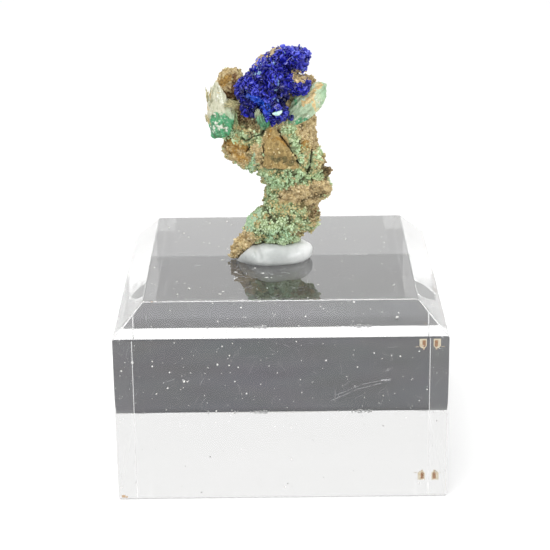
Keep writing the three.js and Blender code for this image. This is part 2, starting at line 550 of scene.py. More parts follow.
def spread_places(mesh, weight, spacing, tries, seed):
    """Random places on a mesh, at least the spacing apart, with normals and nearest corners."""
    rng = np.random.default_rng(seed)
    mesh.calc_loop_triangles()
    corners = np.empty(len(mesh.loop_triangles) * 3, dtype=int)
    mesh.loop_triangles.foreach_get("vertices", corners)
    corners = corners.reshape(-1, 3)
    points = points_of(mesh)
    a, b, c = (points[corners[:, k]] for k in range(3))
    area = np.linalg.norm(np.cross(b - a, c - a), axis=1)
    share = area * weight[corners].mean(axis=1)
    picked = rng.choice(len(corners), size=tries, p=share / share.sum())
    u, v = rng.random(tries), rng.random(tries)
    fold = u + v > 1
    u[fold], v[fold] = 1 - u[fold], 1 - v[fold]
    places = a[picked] + u[:, None] * (b - a)[picked] + v[:, None] * (c - a)[picked]
    steps = list(itertools.product((-1, 0, 1), repeat=3))
    taken = {}
    kept = []
    for n, place in enumerate(places):
        home = tuple(int(q) for q in np.floor(place / spacing))
        cells = (tuple(q + step for q, step in zip(home, way)) for way in steps)
        others = (places[other] for cell in cells for other in taken.get(cell, ()))
        if all(np.sum((other - place) ** 2) >= spacing * spacing for other in others):
            taken.setdefault(home, []).append(n)
            kept.append(n)
    nearest = corners[picked[kept], 0]
    return places[kept], normals_of(mesh)[nearest], nearest


def unit(vectors):
    return vectors / np.maximum(np.linalg.norm(vectors, axis=1, keepdims=True), 1e-9)


def turned_frames(directions, turns):
    """A 3 by 3 turn for each direction, which becomes the copy's upward axis."""
    upward = unit(directions)
    helper = np.where(np.abs(upward[:, 2:3]) < 0.9, [[0.0, 0.0, 1.0]], [[1.0, 0.0, 0.0]])
    side = unit(np.cross(helper, upward))
    other = np.cross(upward, side)
    cos, sin = np.cos(turns)[:, None], np.sin(turns)[:, None]
    return np.stack([side * cos + other * sin, other * cos - side * sin, upward], axis=2)


def random_frames(rng, directions, wobble=0.0):
    """Frames turned at random about directions, which themselves wobble."""
    if wobble:
        directions = directions + rng.normal(0, wobble, directions.shape)
    return turned_frames(directions, rng.uniform(0, WHOLE_TURN, len(directions)))


def joined_copies(name, shapes, places, turns, sizes, values, seed, smooth=False):
    """One object made of a copy of a random shape at each place; sizes and places in millimetres."""
    rng = np.random.default_rng(seed)
    choice = rng.integers(0, len(shapes), len(places))
    corners, faces, tips = [], [], []
    copied = {key: [] for key in values}
    count = 0
    for k, (shape, sides, tip) in enumerate(shapes):
        chosen = np.flatnonzero(choice == k)
        local = shape[None] * sizes[chosen][:, None, :]
        moved = np.einsum("nij,ntj->nti", turns[chosen], local) + places[chosen][:, None]
        corners.append(moved.reshape(-1, 3))
        for first in range(count, count + len(chosen) * len(shape), len(shape)):
            faces.extend([[first + q for q in side] for side in sides])
        count += len(chosen) * len(shape)
        tips.append(np.tile(tip, len(chosen)))
        for key, each in values.items():
            copied[key].append(np.repeat(each[chosen], len(shape)))
    mesh = bpy.data.meshes.new(name)
    mesh.from_pydata((np.concatenate(corners) * MM).tolist(), [], faces)
    attribute(mesh, "tip", np.concatenate(tips))
    for key, parts in copied.items():
        attribute(mesh, key, np.concatenate(parts))
    mesh.polygons.foreach_set("use_smooth", np.full(len(mesh.polygons), smooth))
    mesh.update()
    return link_object(name, mesh)


# ---------------------------------------------------------------- materials
def node_group(name, inputs, outputs, build):
    group = bpy.data.node_groups.new(name, "ShaderNodeTree")
    for label, kind, value in inputs:
        group.interface.new_socket(label, in_out="INPUT", socket_type=kind).default_value = value
    for label, kind in outputs:
        group.interface.new_socket(label, in_out="OUTPUT", socket_type=kind)
    start = group.nodes.new("NodeGroupInput")
    end = group.nodes.new("NodeGroupOutput")
    build(group, start.outputs, end.inputs)
    return group


def build_mottle(tree, given, result):
    place = vector_maths(tree, "MULTIPLY", object_place(tree), given["Stretch"])
    cloud = clouds(tree, place, maths(tree, "DIVIDE", 1000.0, given["Size"]), 4, 0.6)["Fac"]
    level = spread(tree, cloud, 0.32, 0.68)
    tree.links.new(blend(tree, level, given["Dark"], given["Light"]), result["Colour"])
    tree.links.new(level, result["Height"])


MOTTLE = node_group(
    "mottle",
    (
        ("Dark", "NodeSocketColor", BLACK),
        ("Light", "NodeSocketColor", WHITE),
        ("Size", "NodeSocketFloat", 1.0),
        ("Stretch", "NodeSocketVector", (1, 1, 1)),
    ),
    (("Colour", "NodeSocketColor"), ("Height", "NodeSocketFloat")),
    build_mottle,
)


def build_cavity_shade(tree, given, result):
    # Painted shade: the colour given as Dirt is laid in the hollows, and white is laid softly on the crests
    # as a painted highlight.
    deep = spread(tree, given["Relief"], 0.10, 0.55, 1.0, 0.0)
    stained = blend(tree, times(tree, deep, given["Amount"]), given["Colour"], given["Dirt"])
    high = spread(tree, given["Relief"], 0.6, 0.95, 0.0, 0.22)
    tree.links.new(blend(tree, high, stained, WHITE, "SOFT_LIGHT"), result["Colour"])


CAVITY_SHADE = node_group(
    "cavity shade",
    (
        ("Colour", "NodeSocketColor", (0.5, 0.5, 0.5, 1)),
        ("Dirt", "NodeSocketColor", (0.02, 0.015, 0.01, 1)),
        ("Relief", "NodeSocketFloat", 0.5),
        ("Amount", "NodeSocketFloat", 1.0),
    ),
    (("Colour", "NodeSocketColor"),),
    build_cavity_shade,
)


def use_group(tree, group, **values):
    node = tree.nodes.new("ShaderNodeGroup")
    node.node_tree = group
    for label, value in values.items():
        wire(tree, node.inputs[label.capitalize()], value)
    return node.outputs


def mottled(tree, dark, light, size, stretch=(1, 1, 1)):
    """Two tones mixed in clouds of a size in millimetres, as a Colour and a Height."""
    return use_group(tree, MOTTLE, dark=colour(dark), light=colour(light), size=size, stretch=stretch)


def tones(tree, *look):
    return mottled(tree, *look)["Colour"]


def speckle(tree, size):
    return mottled(tree, "000000", "ffffff", size)["Height"]


def read(tree, name):
    node = tree.nodes.new("ShaderNodeAttribute")
    node.attribute_name = name
    return node.outputs["Fac"]


def layer(tree, body, mask, size, cover, reach=0.7):
    """A colour laid over the body where a painted mask is, with a broken edge."""
    shift = times(tree, maths(tree, "SUBTRACT", speckle(tree, size), 0.5), reach)
    broken = spread(tree, plus(tree, read(tree, mask), shift), 0.38, 0.62)
    return blend(tree, broken, body, cover)


def tinted_by(tree, body, name, code):
    """The body turned to a plain colour as far as an attribute says."""
    return blend(tree, read(tree, name), body, colour(code))


def shaded_in_hollows(tree, body, dirt, amount):
    """The body with painted shade in its hollows, in the colour given as dirt, and a little painted light on
    its crests.
    """
    relief = read(tree, "relief")
    return use_group(tree, CAVITY_SHADE, colour=body, dirt=colour(dirt), relief=relief, amount=amount)["Colour"]


def bumped(tree, shader, height, strength, distance):
    node = tree.nodes.new("ShaderNodeBump")
    node.inputs["Strength"].default_value = strength
    node.inputs["Distance"].default_value = distance * MM
    tree.links.new(height, node.inputs["Height"])
    tree.links.new(node.outputs["Normal"], shader.inputs["Normal"])


def simple_surface(name, roughness, look, relief=None, **constants):
    """One mottled tone, and with relief (strength, distance) the same clouds as a bump."""
    material, tree, shader = new_material(name, roughness, **constants)
    tone = mottled(tree, *look)
    tree.links.new(tone["Colour"], shader.inputs["Base Color"])
    if relief:
        bumped(tree, shader, tone["Height"], *relief)
    return material


def rock_surface():
    material, tree, shader = new_material("limonite rock", 0.82)
    fine = mottled(tree, "7a6134", "f8e9be", 0.42)
    earth = blend(tree, 0.5, tones(tree, "866834", "dcbf80", 1.5), fine["Colour"])
    woody = tones(tree, "7c6438", "ccb074", 0.34, (1, 1, 0.3))
    slab = blend(tree, 0.5, woody, tones(tree, "66562e", "c2a76c", 0.8, (1, 1, 0.5)))
    body = blend(tree, read(tree, "plate"), earth, slab)
    body = layer(tree, body, "ochre", 1.1, tones(tree, "7c5c28", "bc944c", 0.7))
    # Painted shade: a dull olive where the shade strokes lie.
    body = layer(tree, body, "dark", 0.9, tones(tree, "4c4426", "928656", 0.6))
    # Reddish umber, partly painted shade.
    body = layer(tree, body, "umber", 0.9, tones(tree, "432a1a", "8a6238", 0.6))
    body = layer(tree, body, "crust", 0.8, tones(tree, "788c5a", "bccea0", 0.9))
    body = layer(tree, body, "mint", 0.7, tones(tree, "9ec3a0", "cfe3c4", 0.9, (1, 1, 0.4)))
    # Painted shade in the hollows and painted light on the crests; the cracks are near black.
    body = tinted_by(tree, shaded_in_hollows(tree, body, "3a3019", 0.85), "crack", "241b10")
    tree.links.new(body, shader.inputs["Base Color"])
    bumped(tree, shader, fine["Height"], 0.6, 0.25)
    return material


def granule_surface():
    material, tree, shader = new_material("malachite granules", 0.62)
    grain = speckle(tree, 0.35)
    # Painted highlight and shade: each grain is lighter towards its tip and darker at its foot, between the
    # grains.
    level = weighed(tree, (read(tree, "tip"), 0.4), (read(tree, "tint"), 0.5), (grain, 0.3))
    body = blend(tree, spread(tree, level, 0.05, 0.45), colour("5e683c"), colour("b0c490"))
    body = blend(tree, spread(tree, level, 0.45, 0.95), body, colour("d8e5bd"))
    body = blend(tree, times(tree, read(tree, "cool"), 0.5), body, colour("86c4a0"))
    body = blend(tree, read(tree, "rust"), body, tones(tree, "94804a", "ded09c", 0.6))
    tree.links.new(body, shader.inputs["Base Color"])
    bumped(tree, shader, grain, 0.3, 0.1)
    return material


def crumb_surface():
    material, tree, shader = new_material("limonite crumbs", 0.78)
    mixed = mottled(tree, "7c5e30", "f0dcaa", 0.5)
    lift = blend(tree, read(tree, "tint"), colour("664c24"), colour("f2e2b8"))
    body = blend(tree, 0.5, mixed["Colour"], lift)
    body = blend(tree, read(tree, "ochre"), body, tones(tree, "80602a", "c09a54", 0.5))
    # The rock's painted shade and its umber, partly painted shade, carry over to the crumbs.
    body = tinted_by(tree, body, "dark", "766a42")
    body = tinted_by(tree, body, "umber", "684a2c")
    # Painted shade at the foot of each crumb, where it sits on the rock.
    body = blend(tree, spread(tree, read(tree, "tip"), 0.0, 0.6, 0.35, 0.0), body, colour("46371f"))
    tree.links.new(body, shader.inputs["Base Color"])
    bumped(tree, shader, mixed["Height"], 0.4, 0.1)
    return material


def azurite_crystal_surface():
    material, tree, shader = new_material(
        "azurite crystals", 0.2, IOR=1.6, Specular_Tint=(0.85, 0.85, 1, 1)
    )
    flaw = speckle(tree, 0.5)
    # Painted highlight: each crystal is lighter towards its tip.
    level = weighed(tree, (read(tree, "tint"), 0.6), (read(tree, "tip"), 0.25), (flaw, 0.2))
    body = blend(tree, spread(tree, level, 0.15, 0.7), colour("070832"), colour("1d20a6"))
    body = blend(tree, spread(tree, level, 0.7, 1.05), body, colour("636ce0"))
    body = tinted_by(tree, body, "azure", "1c52c8")
    body = tinted_by(tree, body, "shade", "06072a")
    # Painted glints: pale blue where the pale attribute is.
    body = tinted_by(tree, body, "pale", "9cc4e4")
    tree.links.new(body, shader.inputs["Base Color"])
    tree.links.new(spread(tree, flaw, 0.0, 1.0, 0.08, 0.28), shader.inputs["Roughness"])
    bumped(tree, shader, flaw, 0.15, 0.1)
    return material


def blade_surface():
    """Cream and mint fibrous malachite, emerald where it is clear, ochre where it is stained."""
    material, tree, shader = new_material("malachite blade", 0.32, Coat_Weight=0.25)
    streak = mottled(tree, "8c8868", "e4dcc8", 0.26, (1, 1, 0.16))
    cream = blend(tree, 0.45, tones(tree, "aeaa90", "d2ccb6", 1.2, (1, 1, 0.4)), streak["Colour"])
    clear = tones(tree, "02401f", "3aa468", 0.7, (1, 1, 0.7))
    glass = blend(tree, 0.4, clear, tones(tree, "08502c", "7cca9a", 0.24, (1, 1, 0.25)))
    body = blend(tree, read(tree, "mint"), cream, tones(tree, "80a884", "aec6a0", 1.6, (1, 1, 0.5)))
    body = layer(tree, body, "emerald", 1.0, glass)
    body = layer(tree, body, "white", 0.45, tones(tree, "c6cbb4", "f6f7ee", 0.3, (1, 1, 0.5)), 0.9)
    body = layer(tree, body, "stain", 0.6, tones(tree, "b89458", "dcc994", 0.7), 0.9)
    # Painted shade in the hollows and painted light on the crests.
    tree.links.new(shaded_in_hollows(tree, body, "5a5f3c", 0.6), shader.inputs["Base Color"])
    tree.links.new(spread(tree, streak["Height"], 0.0, 1.0, 0.22, 0.5), shader.inputs["Roughness"])
    bumped(tree, shader, streak["Height"], 0.35, 0.15)
    return material


def fibre_surface():
    material, tree, shader = new_material("mineral fibres", 0.42)
    tint = read(tree, "tint")
    green = blend(tree, tint, colour("043a1e"), colour("66b888"))
    sallow = blend(tree, tint, colour("867e44"), colour("dccf96"))
    cream = blend(tree, tint, colour("b7bb9c"), colour("efecd9"))
    body = blend(tree, read(tree, "sallow"), green, sallow)
    body = blend(tree, read(tree, "cream"), body, cream)
    # Painted shade at the root of each fibre.
    body = blend(tree, spread(tree, read(tree, "tip"), 0.0, 0.4, 0.25, 0.0), body, colour("5a6240"))
    tree.links.new(body, shader.inputs["Base Color"])
    return material


def putty_surface():
    """Soft white, with painted light making it paler towards its right end, and a little light coming
    through.
    """
    material, tree, shader = new_material(
        "white putty", 0.26, Subsurface_Weight=0.4, Subsurface_Scale=2 * MM,
        Subsurface_Radius=(1, 1, 1), Coat_Weight=0.2
    )
    soft = mottled(tree, "b1b5b3", "c8cbc9", 3.0)
    # Painted light: the right end is made paler, as the light falls on it.
    lit_right_end = spread(tree, split_xyz(tree, object_place(tree))["X"], 1.5 * MM, 5.5 * MM)
    tree.links.new(blend(tree, lit_right_end, soft["Colour"], colour("f2f4f2")), shader.inputs["Base Color"])
    tree.links.new(spread(tree, soft["Height"], 0.0, 1.0, 0.24, 0.4), shader.inputs["Roughness"])
    bumped(tree, shader, soft["Height"], 0.12, 0.3)
    return material


# ---------------------------------------------------------------- the stem
# Strokes are lines on the specimen seen from the front: x, height above the block, x, height, radius and
# value, in millimetres.
CRUST_STROKES = (
    (-5.5, 8.0, 3.6, 8.2, 4.6, 1.0),
    (-4.6, 13.0, -1.5, 15.5, 2.0, 0.9),
    (-3.5, 17.0, 9.2, 20.8, 2.5, 1.0),
    (-5.8, 18.6, -5.2, 24.2, 0.7, 0.95),
    (-2.6, 27.8, -5.4, 25.2, 0.5, 0.9),
    (2.0, 27.4, 5.0, 22.0, 1.3, 0.95),
    (9.4, 13.8, 10.0, 16.2, 0.9, 0.9),
    (-8.4, 27.2, -5.2, 26.2, 1.2, 0.75),
    (-8.2, 30.8, -4.6, 30.2, 1.4, 0.05),
    (-8.4, 25.2, -9.8, 26.2, 0.6, 0.8),
    (6.4, 23.6, 8.4, 19.8, 0.7, 0.6),
    (1.6, 14.6, 8.6, 15.8, 1.5, 0.0),
    (4.6, 12.4, 8.0, 13.4, 0.8, 0.1),
    (-10.4, 24.2, -6.6, 22.6, 1.4, 0.0),
    (-4.4, 24.4, -4.1, 22.2, 0.8, 0.0),
    (-9.4, 1.8, -6.9, 4.6, 2.3, 0.1),
    (5.6, 28.8, 6.8, 25.4, 2.0, 0.05),
    (5.4, 23.0, 5.2, 21.6, 0.5, 0.3),
    (9.0, 21.0, 10.2, 18.4, 0.8, 0.1),
    (6.4, 11.6, 7.0, 8.6, 0.8, 0.1),
    (3.0, 6.4, 4.8, 5.6, 0.6, 0.1),
    (-10.0, 36.4, -8.6, 34.6, 3.4, 0.0),
    (-5.0, 38.0, 5.0, 39.0, 4.0, 0.1),
)
PLATE_STROKES = (
    (-1.6, 28.2, -0.8, 27.2, 0.9, 1.0),
    (-1.2, 26.2, 0.2, 25.6, 1.7, 1.0),
    (-1.0, 24.2, 0.8, 23.4, 2.0, 1.0),
    (-1.8, 22.0, 2.4, 21.8, 1.3, 1.0),
    (-2.4, 21.0, 3.2, 20.9, 0.7, 1.0),
)
OCHRE_STROKES = (
    (-10.4, 25.4, -6.4, 24.8, 1.0, 1.0),
    (-9.4, 23.4, -7.0, 22.4, 1.2, 0.6),
    (0.1, 26.8, 1.5, 25.3, 0.4, 1.0),
    (-1.6, 27.8, -1.2, 26.4, 0.7, 0.5),
    (-3.9, 26.6, -3.2, 27.3, 0.35, 1.0),
    (5.2, 24.9, 5.4, 23.9, 0.6, 1.0),
    (-9.2, 2.6, -7.2, 5.0, 1.4, 0.3),
    (-11.2, 36.6, -9.8, 37.6, 0.9, 0.8),
)
# Painted shade: where the stem is darkened to a dull olive, in its crevices and under its lobes; these
# places are also cut a little deeper.
PAINTED_SHADE_STROKES = (
    (4.2, 12.6, 5.4, 12.0, 0.6, 1.0),
    (6.0, 11.4, 7.4, 8.6, 0.7, 0.6),
    (5.2, 9.4, 5.6, 8.4, 0.4, 0.8),
    (8.8, 19.8, 10.3, 17.6, 0.9, 0.9),
    (5.6, 21.6, 6.4, 18.8, 0.3, 0.8),
    (-8.0, 30.2, -4.4, 27.8, 1.4, 0.6),
    (-10.4, 33.0, -7.4, 34.0, 1.3, 0.9),
    (-7.0, 35.4, -6.6, 36.6, 1.0, 0.7),
    (-5.3, 23.4, -5.0, 21.6, 0.5, 0.8),
    (-3.6, 23.6, -3.4, 21.8, 0.5, 0.6),
    (-4.6, 14.4, -3.4, 11.4, 0.6, 0.8),
    (-1.6, 22.6, 2.6, 22.0, 0.9, 0.6),
    (3.0, 6.0, 5.0, 5.2, 0.7, 0.7),
)
# Reddish umber, partly the rock's own colour and partly painted shade on the knob's lower side and below the
# azurite.
UMBER_AND_SHADE_STROKES = (
    (-8.6, 37.6, -8.3, 34.6, 0.7, 0.85),
    (-10.4, 34.5, -9.0, 34.0, 0.7, 0.8),
    (-9.8, 35.8, -9.4, 35.2, 0.3, 0.6),
    (6.4, 11.4, 7.4, 9.0, 0.5, 0.5),
    (-8.0, 30.8, -4.6, 30.4, 1.2, 0.6),
    (9.6, 19.6, 10.4, 17.8, 0.5, 0.6),
)
RUST_STROKES = (
    (-0.6, 15.0, 1.2, 12.2, 0.9, 0.8),
    (-0.8, 12.8, 2.8, 9.4, 1.0, 0.7),
    (3.2, 11.8, 4.2, 9.6, 0.6, 0.7),
    (-2.8, 20.0, 0.6, 19.6, 0.5, 0.7),
    (-3.4, 14.0, -3.2, 11.4, 0.6, 0.8),
    (6.2, 19.6, 8.6, 20.4, 0.8, 0.7),
    (-7.2, 28.0, -5.4, 26.6, 0.8, 0.4),
    (-2.6, 27.8, -5.4, 25.2, 0.4, 0.4),
    (-5.6, 6.6, -4.0, 5.4, 0.8, 0.5),
)
COOL_STROKES = (
    (-2.0, 6.0, 1.5, 6.4, 1.2, 1.0),
    (-3.0, 17.0, 4.0, 18.6, 1.6, 0.6),
    (-6.4, 9.0, -4.6, 12.0, 1.6, 0.8),
    (-5.6, 19.4, -4.6, 23.0, 1.0, 0.8),
    (3.0, 24.0, 4.4, 21.4, 0.9, 0.6),
)
MINT_STROKES = (
    (-6.8, 7.6, -3.6, 13.8, 1.2, 1.0),
    (-4.8, 23.6, -5.6, 19.2, 0.5, 0.8),
)
SPURS = (
    (10.0, 18.8, 10.6, 18.6, 0.7, 0.7),
    (9.6, 15.2, 9.2, 14.2, 0.5, 0.5),
    (-5.6, 18.6, -5.0, 19.2, 0.5, 0.7),
    (7.4, 10.6, 7.6, 9.6, 0.7, 0.3),
    (8.0, 27.4, 8.0, 26.2, 0.7, 0.3),
    (-2.8, 15.6, -3.2, 14.8, 0.6, -0.7),
    (5.4, 39.9, 7.2, 39.2, 0.7, -1.2),
    (6.6, 39.6, 7.8, 38.4, 1.0, -2.2),
    (9.8, 21.2, 10.6, 20.4, 0.6, -0.5),
    (10.4, 16.8, 10.8, 16.0, 0.5, -0.5),
    (-10.6, 39.6, -8.6, 39.4, 0.6, -0.6),
    (-4.2, 19.8, -4.6, 18.2, 0.5, -0.5),
    (8.0, 15.2, 7.4, 13.4, 0.5, -0.5),
    (1.4, 27.4, 1.6, 27.2, 0.5, 0.5),
    (2.2, 26.1, 2.4, 25.9, 0.5, 0.5),
    (3.0, 25.0, 3.3, 24.4, 0.45, 0.5),
    (3.7, 23.5, 3.9, 22.4, 0.45, 0.5),
    (4.6, 21.6, 4.9, 21.4, 0.45, 0.5),
    (2.4, 21.7, 2.6, 21.6, 0.35, 0.4),
    (-8.7, 24.9, -8.5, 25.0, 0.5, 0.5),
    (-7.7, 27.2, -7.5, 27.0, 0.5, 0.5),
    (-5.6, 27.0, -5.4, 26.8, 0.5, 0.5),
    (-4.2, 25.3, -5.0, 24.6, 0.4, 0.5),
    (-10.3, 25.9, -10.1, 25.8, 0.4, 0.4),
    (7.2, 22.2, 8.0, 20.4, 0.3, 0.3),
    (7.0, 17.2, 7.2, 17.0, 0.4, 0.5),
)
CRACKS = (
    ((-2.5, 28.6), (-3.7, 27.3), (-4.7, 27.0), (-6.5, 25.7), (-7.5, 26.3)),
    ((-2.9, 25.4), (-3.1, 23.1), (-3.3, 21.2), (-4.0, 20.8), (-4.7, 20.2)),
    ((-3.3, 21.2), (-2.7, 20.3), (-1.0, 20.0), (0.6, 20.0)),
    ((-0.1, 28.1), (0.8, 26.5), (2.1, 24.9), (2.8, 23.6), (3.6, 21.8), (4.1, 21.1)),
    ((-5.8, 25.2), (-6.2, 24.0), (-6.3, 22.6)),
    ((6.6, 23.4), (6.2, 21.0), (5.7, 18.9)),
)
CRACK_WIDTH = 0.13
CRACK_DEPTH = 0.9
CRACK_CLEARANCE = 0.6               # no grains grow this near a crack


def crack_nearness(x, h, width):
    nearest = np.full(len(x), 99.0)
    for line in CRACKS:
        for start, end in zip(line, line[1:]):
            nearest = np.minimum(nearest, to_line(x, h, start, end))
    return 1 - soft_step(nearest, width * 0.4, width * 1.5)


def rock_masks(points, h):
    """How much of each colour, of painted shade and of each kind of surface is at each point of the stem,
    from 0 to 1.
    """
    # Reading the strokes at drifting places gives the patches wandering edges.
    x_read = points[:, 0] + soft_noise(points, 1.6) * 0.6
    h_read = h + soft_noise(points + 50.0, 1.6) * 0.6
    h_read += np.maximum(points[:, 1] + 2.5, 0) * (0.35 + soft_noise(points + 30.0, 5.0) * 0.8)
    front = 1 - soft_step(points[:, 1], -2.5, -0.5)
    crust = painted(x_read, h_read, 0.45, CRUST_STROKES)
    crust = np.clip(crust + (1 - front) * soft_noise(points + 20.0, 3.5) * 0.6, 0, 1)
    plate = painted(x_read, h_read, 0.0, PLATE_STROKES, 0.6) * front
    crack_line = points[:, 0] + soft_noise(points, 0.8) * 0.25
    return {
        "crust": crust * (1 - plate),
        "plate": plate,
        "ochre": painted(x_read, h_read, 0.0, OCHRE_STROKES, 0.6),
        "dark": painted(x_read, h_read, 0.0, PAINTED_SHADE_STROKES, 0.6),
        "umber": painted(x_read, h_read, 0.0, UMBER_AND_SHADE_STROKES, 0.6),
        "mint": painted(x_read, h_read, 0.0, MINT_STROKES, 0.4) * front,
        "crack": crack_nearness(crack_line, h, CRACK_WIDTH) * front,
        "cleared": crack_nearness(crack_line, h, CRACK_CLEARANCE) * front,
    }


def make_matrix():
    piece = even_skin("matrix_rock", merged_copy("matrix"), ROCK_CELL)
    mesh = piece.data
    points = points_of(mesh)
    h = height_above_block(points)
    masks = rock_masks(points, h)
    crust, plate, mint, dark = (masks[key] for key in ("crust", "plate", "mint", "dark"))
    smooth = np.maximum(plate, 0.8 * mint)
    lumps = soft_noise(points, 3.0, 2) * 0.45 * (1 - 0.75 * smooth)
    crags = ridges(points, 1.9) * 0.42 * (1 - 0.8 * smooth)
    curls = ridges(points * (1.15, 1, 0.8) + 80.0, 1.3, 2) * 0.5 * (0.12 + 0.88 * crust) * (1 - smooth)
    grains = (pebbles(points * (1, 1, 0.7), 0.7) - 0.6) * 0.22 * crust * (1 - 0.8 * mint)
    sand = (pebbles(points, 0.5) - 0.5) * 0.14
    pits = soft_step(soft_noise(points + 140.0, 0.9), 0.35, 0.6) * 0.45 * (1 - crust) * (1 - 0.7 * plate)
    amount = lumps + crags + curls + grains + sand - pits + 0.15 * plate
    amount += painted_on(points, 0.0, SPURS, 0.5)
    amount -= CRACK_DEPTH * masks["crack"] + 0.35 * dark + 0.2 * crust
    moved = points + normals_of(mesh) * amount[:, None]
    # The lobe behind the right blade is drawn down and in.
    lobe = soft_step(points[:, 0], 3.4, 4.8)
    moved[:, 2] -= lobe * np.maximum(h - 36.8, 0) * 0.78
    moved[:, 0] -= lobe * np.maximum(h - 36.5, 0) * 0.25
    moved[:, 2] = np.maximum(moved[:, 2], STONE_TOP - SUNK)
    move_points(mesh, moved)
    masks["relief"] = np.clip(0.58 + (crags + curls + grains + sand - pits - 0.25 * dark) * 1.1, 0, 1)
    for key in ("crust", "ochre", "dark", "umber", "mint", "crack", "plate", "relief"):
        attribute(mesh, key, masks[key])
    finish_piece(piece, rock_surface(), "matrix", "limonite_matrix")
    return mesh, masks


def make_granules(rock, masks):
    """The green botryoidal crust: upright buds packed side by side."""
    weight = soft_step(masks["crust"], 0.35, 0.75) * (1 - 0.85 * masks["mint"]) * (1 - masks["cleared"])
    ridge = 0.06 + soft_step(masks["relief"], 0.35, 0.8)
    off_block = soft_step(height_above_block(points_of(rock)), 0.5, 1.5)
    weight = weight * ridge * off_block + 0.003
    places, normals, nearest = spread_places(rock, weight, spacing=0.41, tries=16000, seed=11)
    rng = np.random.default_rng(12)
    count = len(places)
    lean = normals * 1.0 + np.array([0.2, 0, 0.6]) + rng.normal(0, 0.6, (count, 3))
    width = 0.30 + 0.42 * rng.random(count) ** 1.6
    length = width * rng.uniform(0.9, 1.6, count)
    sizes = np.stack([width, width * rng.uniform(0.6, 1.1, count), length], axis=1)
    # Painted light and shade: grains on crests are lighter and those in hollows darker, and grains low down
    # near the block are lightened as if lit from below.
    lit_low_band = 1 - soft_step(height_above_block(places), 9.0, 14.0)
    tint = (
        rng.random(count) * 0.5 + masks["relief"][nearest] * 0.5
        + soft_noise(places, 1.3) * 0.5 + soft_noise(places, 3.5) * 0.3 + 0.62 * lit_low_band - 0.1
    )
    rust = (
        soft_noise(places + 70.0, 1.5) * 1.3 + soft_noise(places + 90.0, 3.0) * 0.4
        + rng.normal(0, 0.06, count) + 1.1 * (0.85 - masks["crust"][nearest])
        + painted_on(places, 0.0, RUST_STROKES, 0.7)
    )
    values = {
        "tint": np.clip(tint, 0, 1),
        "rust": soft_step(rust, 0.05, 0.5),
        "cool": painted_on(places, 0.25, COOL_STROKES, 1.0),
    }
    shapes = [bud(k) for k in range(4)] + [crumb(k + 20) for k in range(6)]
    turns = random_frames(rng, lean)
    piece = joined_copies("malachite_granules", shapes, places + normals * 0.04, turns, sizes, values, 13)
    finish_piece(piece, granule_surface(), "matrix", "limonite_matrix")


def make_crumbs(rock, masks):
    """Sandy brown grains over the bare rock, larger at its foot."""
    h = height_above_block(points_of(rock))
    weight = (1 - soft_step(masks["crust"], 0.3, 0.8)) * (1 - masks["cleared"])
    weight = weight * (1 - 0.9 * masks["plate"]) * soft_step(h, 0.4, 1.2) + 0.005
    places, normals, nearest = spread_places(rock, weight, spacing=0.44, tries=14000, seed=21)
    rng = np.random.default_rng(22)
    count = len(places)
    size = rng.uniform(0.22, 0.60, count) * (1 - 0.4 * masks["plate"][nearest])
    foot = 1 - soft_step(to_line(places[:, 0], h[nearest], (-9.4, 1.5), (-7.2, 5.0)), 1.5, 3.0)
    size *= 1 + 0.3 * foot
    sizes = size[:, None] * rng.uniform(0.7, 1.2, (count, 3))
    values = {
        "tint": np.clip(rng.random(count) + 0.6 * foot + soft_noise(places, 1.2) * 0.6, 0, 1),
        "ochre": np.clip(masks["ochre"][nearest] * 1.2 + rng.uniform(-0.5, 0.3, count), 0, 1),
        # The crumbs take the rock's painted shade and umber where they sit.
        "dark": np.clip(masks["dark"][nearest] * rng.uniform(0.3, 1.0, count), 0, 1),
        "umber": np.clip(masks["umber"][nearest] * rng.uniform(0.4, 1.1, count), 0, 1),
    }
    turns = random_frames(rng, normals, 0.5)
    piece = joined_copies("limonite_crumbs", [crumb(k) for k in range(6)], places, turns, sizes, values, 23)
    finish_piece(piece, crumb_surface(), "matrix", "limonite_matrix")


# ---------------------------------------------------------------- the azurite
AZURE_STROKES = (
    (-5.8, 35.2, -3.6, 34.0, 0.5, 0.9),
    (-3.6, 34.0, -1.8, 32.8, 0.6, 0.95),
    (-2.2, 33.0, -2.0, 31.8, 0.4, 0.6),
)
SHADED_STROKES = (
    (-6.4, 36.4, -5.6, 33.6, 0.5, 0.7),
    (-6.4, 33.2, -5.0, 31.4, 0.9, 0.7),
    (-4.4, 32.4, -4.0, 31.2, 0.7, 0.9),
    (-4.6, 38.2, -2.6, 37.2, 0.4, 0.4),
    (0.0, 36.4, 1.2, 33.8, 0.8, 1.0),
    (1.2, 35.6, 2.8, 34.8, 0.4, 0.6),
    (0.8, 41.2, 3.4, 39.8, 0.4, 0.7),
    (2.8, 41.6, 3.2, 40.4, 0.3, 0.5),
    (4.4, 37.6, 5.0, 37.0, 0.3, 0.5),
)
GLINT_STROKES = (
    (-4.4, 39.7, -3.3, 40.3, 0.5, 1.0),
    (-4.2, 38.8, -3.4, 39.2, 0.35, 0.9),
    (-1.3, 40.7, -0.8, 41.0, 0.4, 0.9),
)
